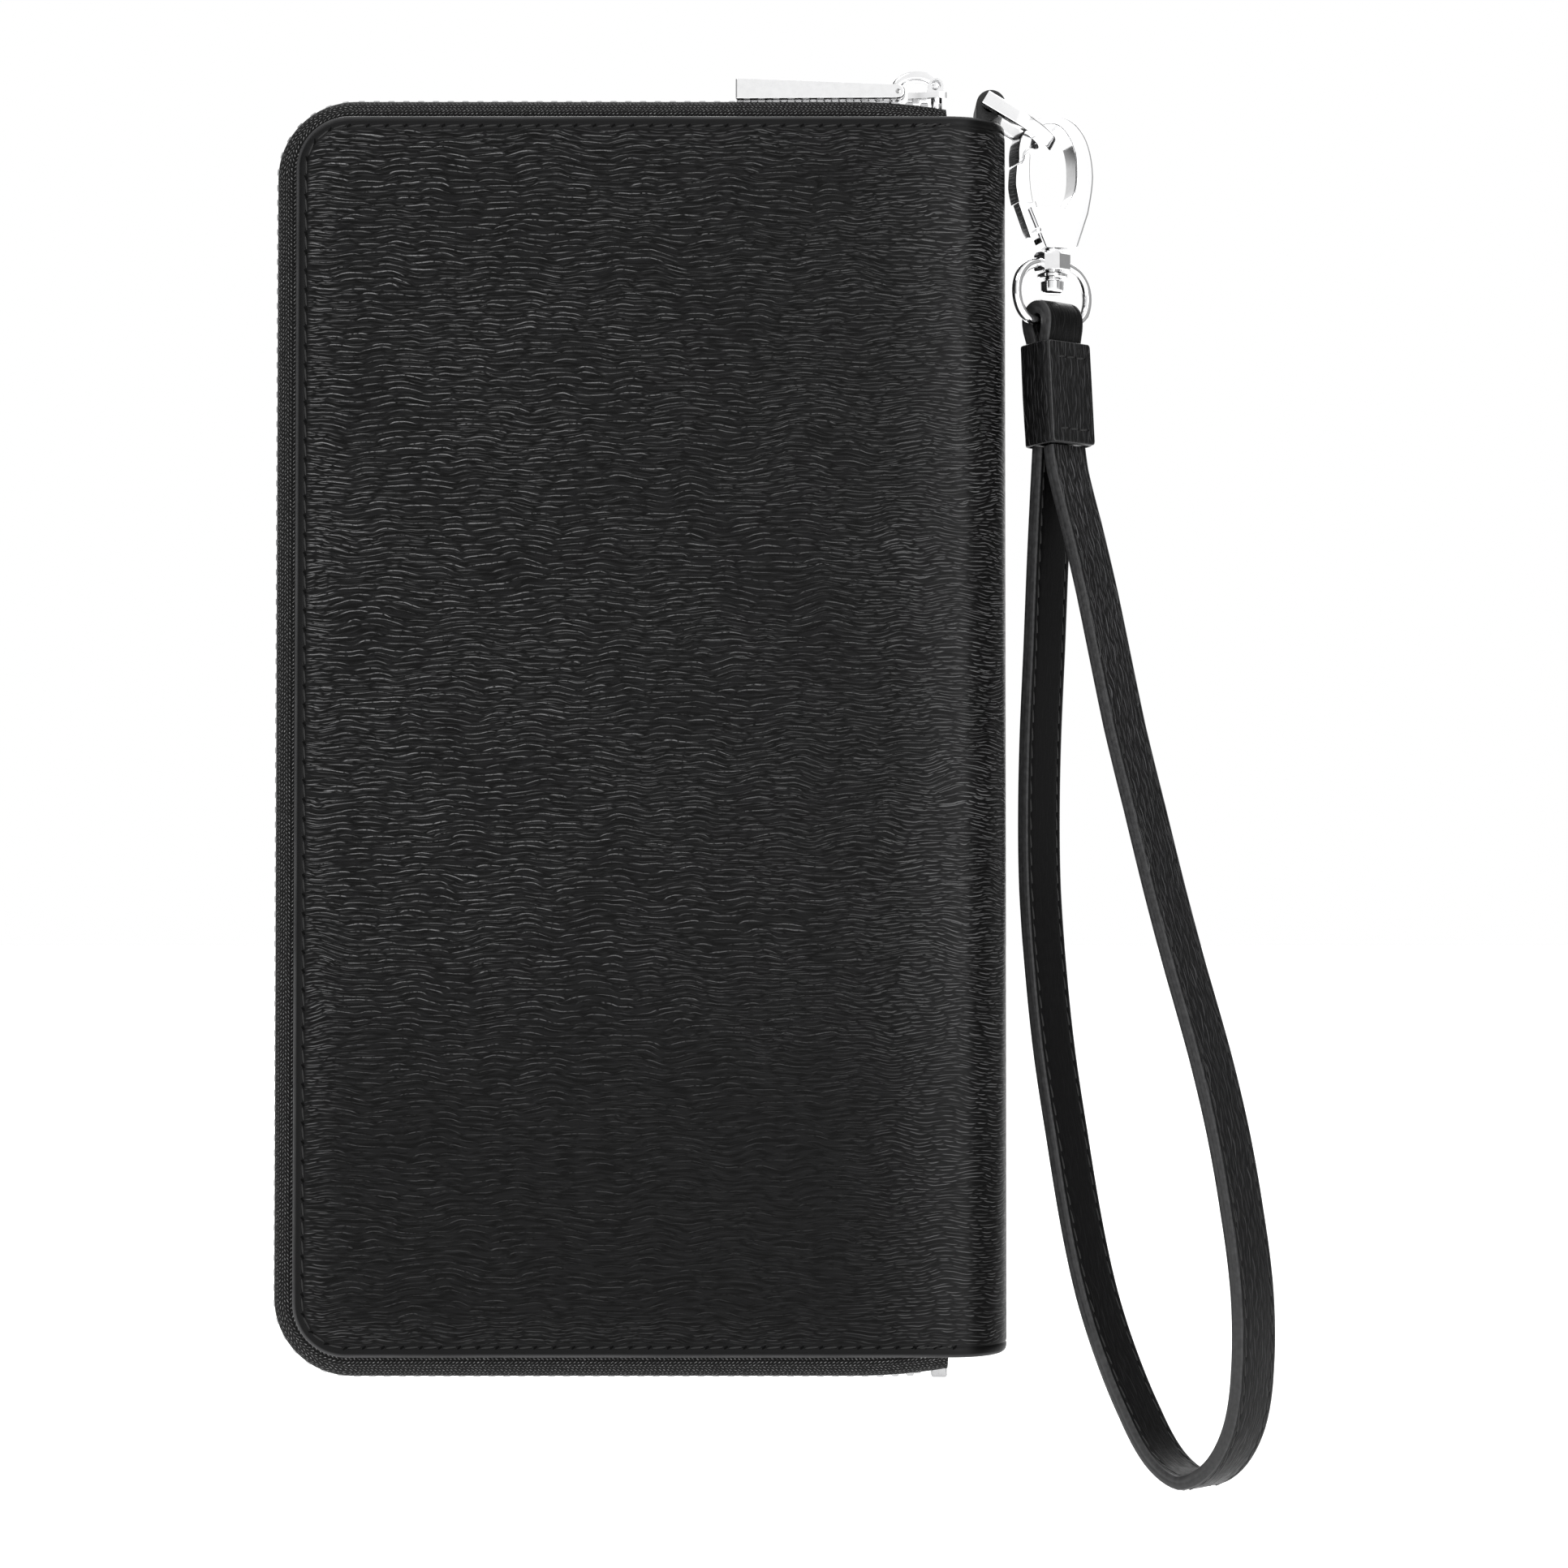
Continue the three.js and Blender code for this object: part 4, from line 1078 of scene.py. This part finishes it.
def zip_teeth(name, side, body, replaces):
    outline = TOOTH + [(-a, b) for a, b in reversed(TOOTH)]
    bevel = 0.13
    levels = [(0.0, bevel), (bevel, 0.0), (TOOTH_DEPTH - bevel, 0.0), (TOOTH_DEPTH, bevel)]
    line = edge_line(ZIP_PROUD - TOOTH_DEPTH, TEETH_END, 1.0)
    points = [p for p, _ in line]
    distance = lengths(points)
    count = int(distance[-1] / TOOTH_PITCH)
    heap = Heap()
    offset = 0.25 if side < 0 else 0.75
    n = len(outline)
    half_width, middle, half_length = 0.6, 1.05, 1.9
    for at, share in walk(distance, [(k + offset) * TOOTH_PITCH for k in range(count)]):
        base = points[at].lerp(points[at + 1], share)
        way = line[at][1].lerp(line[at + 1][1], share).normalized()
        base = base - way * tape_drop(base.x) * 0.4
        along = way.cross(Vector((0, 1, 0)))
        verts = []
        for out, inset in levels:
            for a, b in outline:
                scale_a = a * (1 - inset / half_width)
                away = side * (middle + (b - middle) * (1 - inset / half_length))
                verts.append(base + way * out + along * scale_a + Vector((0, away, 0)))
        heap.add(verts, end_faces(len(levels), n) + ring_faces(len(levels), n))
    return piece(name, heap.verts, heap.faces, "teeth", body, "zip_teeth", replaces)


# ---------------------------------------------------------------- slider and puller


CROWN = (44.4, 98.3)  # the link's pins, as (x, z)
PULL = (38.7, 97.3)
MIDDLE = Matrix.Translation((0, MID_Y, 0))
ALONG_Y = Matrix.Rotation(math.pi / 2, 4, "X")  # lays a turned shape's axis along y


def puller_link():
    """A flat-sided arch from the slider's crown to the pull bar's pin."""
    line = [(44.55, 97.3), (44.65, 98.2), (44.3, 99.15), (43.3, 99.8), (41.9, 100.05), (40.3, 99.9),
            (39.1, 99.3), (38.45, 98.3), (38.4, 97.3)]
    points = [Vector((p.x, MID_Y, p.y)) for p in catmull([Vector((x, z, 0)) for x, z in line], 4)]
    ways = tangents(points)
    half = len(points) / 2
    frames = []
    for i, (p, t) in enumerate(zip(points, ways)):
        thick = 0.95 - 0.3 * i / (2 * half)
        outward = Vector((0, 1, 0)).cross(t) * thick
        frames.append((p, outward, Vector((0, 1, 0))))
    section = [(a / 0.75, b) for a, b in rounded(0.75, 1.0, 0.5, 3)]
    arch = sweep(section, frames)
    solid = [(0, -1), (1.0, -1), (1.15, -0.8), (1.15, 0.8), (1.0, 1), (0, 1)]
    bore = [(0, -2), (0.6, -2), (0.6, 2), (0, 2)]
    pins = [Matrix.Translation((x, MID_Y, z)) @ ALONG_Y for x, z in (CROWN, PULL)]
    bosses = [lathe(solid, pin, 24) for pin in pins]
    bores = [lathe(bore, pin, 20) for pin in pins]
    union("puller_link_polished", [arch, *bosses], "polished", "zip_link", "hardware",
          ["puller_link"], bores)


def puller_bar():
    """A wedge, thicker towards its free end, forked round the link."""
    low = span("puller_bar")[0]
    z0 = low.z
    (pin_x, pin_z), radius = PULL, 1.1
    outline = [(low.x, z0), (pin_x - 1, z0 + 0.12)]
    outline += arc_points(pin_x, pin_z, radius, -100, 90, 8)
    outline.append((low.x, z0 + 3.3))
    body = prism(outline, 2.6, 0.28, MIDDLE)
    fork_x, fork_z = (pin_x - 2.7, pin_x + 3), (z0 - 2, z0 + 6)
    corners = [(fork_x[0], fork_z[0]), (fork_x[1], fork_z[0]), (fork_x[1], fork_z[1]), (fork_x[0], fork_z[1])]
    fork = prism(corners, 1.3, 0.1, MIDDLE)
    union("puller_bar_polished", [body], "polished", "zip_pull", "hardware", ["puller_bar"], [fork])


# ---------------------------------------------------------------- D-ring and its loop
RING_X, RING_Z = 52.6, 94.9
RING_TILT = math.radians(31)


def d_ring():
    """A square bar bent to a D, its straight round bar in the leather loop."""
    place = Matrix.Translation((RING_X, MID_Y, RING_Z)) @ Matrix.Rotation(RING_TILT, 4, "Y")
    radius, straight, bar = 6.0, 4.3, 1.1
    bend = arc_points(straight, 0, radius, -90, 90, 24)
    path = [(-bar, -radius), (1, -radius), *bend, (1, radius), (-bar, radius)]
    points = [Vector((x, y, 0)) for x, y in path]
    ways = tangents(points)
    frames = []
    for p, t in zip(points, ways):
        side = t.cross(Vector((0, 0, 1)))
        rotated = place.to_3x3()
        frames.append((place @ p, rotated @ side, rotated @ Vector((0, 0, 1))))
    arch = sweep(rounded(bar, bar, 0.3, 2), frames)
    rod = [(0, -radius), (0.95, -radius), (0.95, radius), (0, radius)]
    straight_bar = lathe(rod, place @ ALONG_Y, 28)
    union("d_ring_polished", [arch, straight_bar], "polished", "ring", "hardware", ["d_ring"])


def ring_loop():
    """A leather tab folded over the D-ring's bar, its tails sewn in behind the spine."""
    outer, width = 2.2, 4.5
    outline = [(RING_X - outer, RING_Z - 17), (RING_X - outer, RING_Z - 8)]
    outline += arc_points(RING_X, RING_Z, outer, 180, -72, 24)
    outline += [(RING_X - 0.9, RING_Z - 3), (RING_X - 0.9, RING_Z - 17)]
    body = prism(outline, width, 0.22, MIDDLE)
    bore = [(0, -7), (1.25, -7), (1.25, 7), (0, 7)]
    turn = Matrix.Translation((RING_X, MID_Y, RING_Z)) @ ALONG_Y
    union("ring_loop_leather", [body], "inner", "spine", "cover_leather", ["ring_loop"],
          [lathe(bore, turn, 28)])


# ---------------------------------------------------------------- clasp
# The clasp's own axes: x across, z up, with z = 0 at the top of the hook.


def clasp_matrix(turn):
    return Matrix.Translation((HOOK_X, MID_Y, HOOK_Z)) @ Matrix.Rotation(turn, 4, "Z")


def curve(points, steps=5):
    return [(p.x, p.y) for p in catmull([Vector((x, z, 0)) for x, z in points], steps)]


def hook():
    place = clasp_matrix(HOOK_TURN)
    outer = curve([(-6.1, -7.4), (-6.1, -5), (-4.9, -1.9), (-1.2, 0.1), (2.3, -0.6), (4.7, -3.4),
                   (5.8, -9), (5, -14.6)])
    inner = curve([(1.2, -13.9), (2.6, -11.6), (3, -8), (2.4, -4), (0.2, -1.4), (-2.4, -1.6),
                   (-3.9, -3.4), (-4.15, -5.3)])
    nose = [(-4.65, -5.45), (-5.1, -5.95), (-5.25, -6.7), (-5.55, -7.15)]
    outline = [*outer, (3.2, -20), (-1.7, -20), (-4.3, -13.9), *inner, *nose]
    body = prism(outline, 2.5, 0.42, place)
    slot = prism([(-7, -13), (0.9, -13), (0.9, -17.6), (-1.4, -19), (-4, -19.2)], 1.6, 0.05, place)
    stud = [(0, -26.6), (1.35, -26.6), (1.6, -26.45), (1.75, -26.1), (1.8, -24.85), (1.6, -24.6),
            (1.1, -24.6), (1.1, -19.6), (0, -19.6)]
    union("hook_polished", [body, lathe(stud, place)], "polished", "hook", "hardware", ["hook_body"],
          [slot])
    washer = [(1.4, -24.3), (2.2, -24.3), (2.35, -24.15), (2.35, -23.75), (2.2, -23.6), (1.4, -23.6),
              (1.4, -24.3)]
    piece("swivel_washer_polished", *lathe(washer, place), "polished", "hook", "hardware",
          ["swivel_washer"])


def gate():
    place = clasp_matrix(HOOK_TURN)
    outer = curve([(-6.2, -7.6), (-6.4, -10.6), (-5.9, -13.2)])
    inner = curve([(-3.6, -13.2), (-4.0, -11), (-4.15, -8.2), (-4.05, -6.0)])
    tip = [(-4.3, -5.62), (-4.58, -5.68), (-4.92, -6.08), (-5.06, -6.8), (-5.4, -7.35)]
    blade = prism([*outer, *inner, *tip], 1.95, 0.3, place)
    root = prism([(-5.95, -12.8), (-3.05, -12.8), (-1.8, -16.6), (-2, -18.2), (-2.9, -18.6),
                  (-3.9, -18.4)], 1.35, 0.18, place)
    union("hook_gate_polished", [blade, root], "polished", "gate", "hardware", ["hook_gate"])


def eye():
    """The swivel's faceted collar and the eye's round wire."""
    place = clasp_matrix(EYE)
    collar = [(1.4, -23.3), (2.75, -23.3), (2.95, -23.1), (2.95, -20.9), (2.55, -20.4), (1.4, -20.4),
              (1.4, -23.3)]
    side = [(-2.2, -21.9), (-5.1, -22.8), (-6.9, -24.6), (-7.4, -27), (-6.6, -29.5), (-4.9, -30.8)]
    bar = [(x, -EYE_DROP) for x in (-3, 0, 3)]
    other = [(-x, z) for x, z in reversed(side)]
    route = curve([*side, *bar, *other], 5)
    points = [place @ Vector((x, 0, z)) for x, z in route]
    normal = place.to_3x3() @ Vector((0, 1, 0))
    frames = [(p, normal.cross(t), normal) for p, t in zip(points, tangents(points))]
    wire = sweep([(0.75 * math.cos(a), 0.75 * math.sin(a))
                  for a in (2 * math.pi * k / 16 for k in range(16))], frames)
    turned = place @ Matrix.Rotation(math.radians(22.5), 4, "Z")
    union("swivel_eye_polished", [lathe(collar, turned, 8), wire], "polished", "swivel", "hardware",
          ["swivel_eye"], sharp=30)


# ---------------------------------------------------------------- inside


def sheet_panel(node, material, slot, body, side, open_side, stitch_sides):
    """A flat leather panel with softened edges and sewn borders, and a row of stitches by its open edge when
    open_side is set.
    """
    low, high = span(node)
    x0, x1, half = low.x, high.x, high.z
    depth = (high.y - low.y) / 2
    radius = 2
    outline = [(x1, -half), (x1, half), (x0 + radius, half)]
    for start, z in ((90, half - radius), (180, -half + radius)):
        outline += arc_points(x0 + radius, z, radius, start, start + 90, 6)[1:]
    shape = prism(outline, depth, min(0.22, depth * 0.7), Matrix.Translation((0, (low.y + high.y) / 2, 0)))
    piece(node + "_leather", *shape, material, body, slot, [node], sharp=50)
    heap = Heap()
    y = (high.y if side > 0 else low.y) - side * 0.06
    up = Vector((0, side, 0))
    rows = []
    for z in stitch_sides:
        rows.append([(x0 + 2, z * (half - 1.6)), (x1 - 1, z * (half - 1.6))])
    if open_side:
        rows.append([(x0 + 1.5, -half + 3), (x0 + 1.5, half - 3)])
    for row in rows:
        world = [Vector((x, y, z)) for x, z in row]
        stitch_row(heap, world, tangents(world), [up] * 2, 2.8, 2.1, 0.36, 0.06)
    piece(node + "_stitches", heap.verts, heap.faces, "thread", body, slot)


def inside():
    for k in (1, 2, 3, 4):
        sheet_panel(f"card_panel_{k}", "inner", "inner_leather", "back_cover", -1, True,
                    (1, -1, 0) if k == 4 else (1, -1))
    sheet_panel("note_pocket", "inner", "inner_leather", "front_cover", 1, True, (1, -1))
    sheet_panel("coin_pocket_back", "inner", "lining", "coin_page", 1, False, (1, -1))
    sheet_panel("coin_pocket_front", "inner", "lining", "coin_page", -1, False, (1, -1))
    for node in ("front_lining", "back_lining", "spine_lining", "coin_pocket_gusset"):
        clothe(node, "lining")
    for node in ("front_board", "back_board"):
        clothe(node, "board")
    clothe("coin_zip_tape", "lining")
    coin_teeth()
    finished("coin_slider", "polished", 0.3, "coin_zip_slider")
    finished("coin_pull", "polished", 0.2, "coin_zip_pull")


def clothe(node, material):
    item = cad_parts[node]
    item.data.materials.clear()
    item.data.materials.append(MATERIALS[material])


def coin_teeth():
    low, high = span("coin_zip_teeth")
    heap = Heap()
    pitch = 1.3
    count = int((high.z - low.z) / pitch)
    centre_x, half_y = (low.x + high.x) / 2, (high.y - low.y) / 2
    for k in range(count):
        z = low.z + (k + 0.5) * pitch
        shift = 0.25 if k % 2 else -0.25
        outline = rounded(0.45, 0.5, 0.15, 2)
        place = Matrix.Translation((centre_x, (low.y + high.y) / 2 + shift, z))
        heap.add(*prism(outline, half_y - 0.25, 0.12, place, 1))
    piece("coin_zip_teeth_metal", heap.verts, heap.faces, "teeth", "coin_page", "zip_teeth",
          ["coin_zip_teeth"])


# ---------------------------------------------------------------- the whole wallet

camera()
studio()
floor()
wrist_strap()
strap_fold()
strap_keeper()
for name, side in (("front", -1), ("back", 1)):
    cover = name + "_cover"
    skin(name + "_skin", side, [name + "_leather", "spine_leather"])
    cover_stitches(name + "_stitches", side, cover)
    zip_tape_piece(name + "_tape", side, cover, [name + "_zip_tape"])
    zip_teeth(name + "_teeth", side, cover, [name + "_zip_teeth"])
finished("zip_bottom_stop", "teeth", 0.35, "back_cover")
METAL_PARTS = (("slider_body", 0.22, "zip_slider"), ("crown_pin", 0.1, "zip_slider"),
               ("puller_pin", 0.1, "zip_pull"), ("gate_pin", 0.1, "hook"))
for node, bevel, body in METAL_PARTS:
    finished(node, "polished", bevel, body)
puller_link()
puller_bar()
d_ring()
ring_loop()
hook()
gate()
clothe("gate_spring", "polished")
eye()
inside()
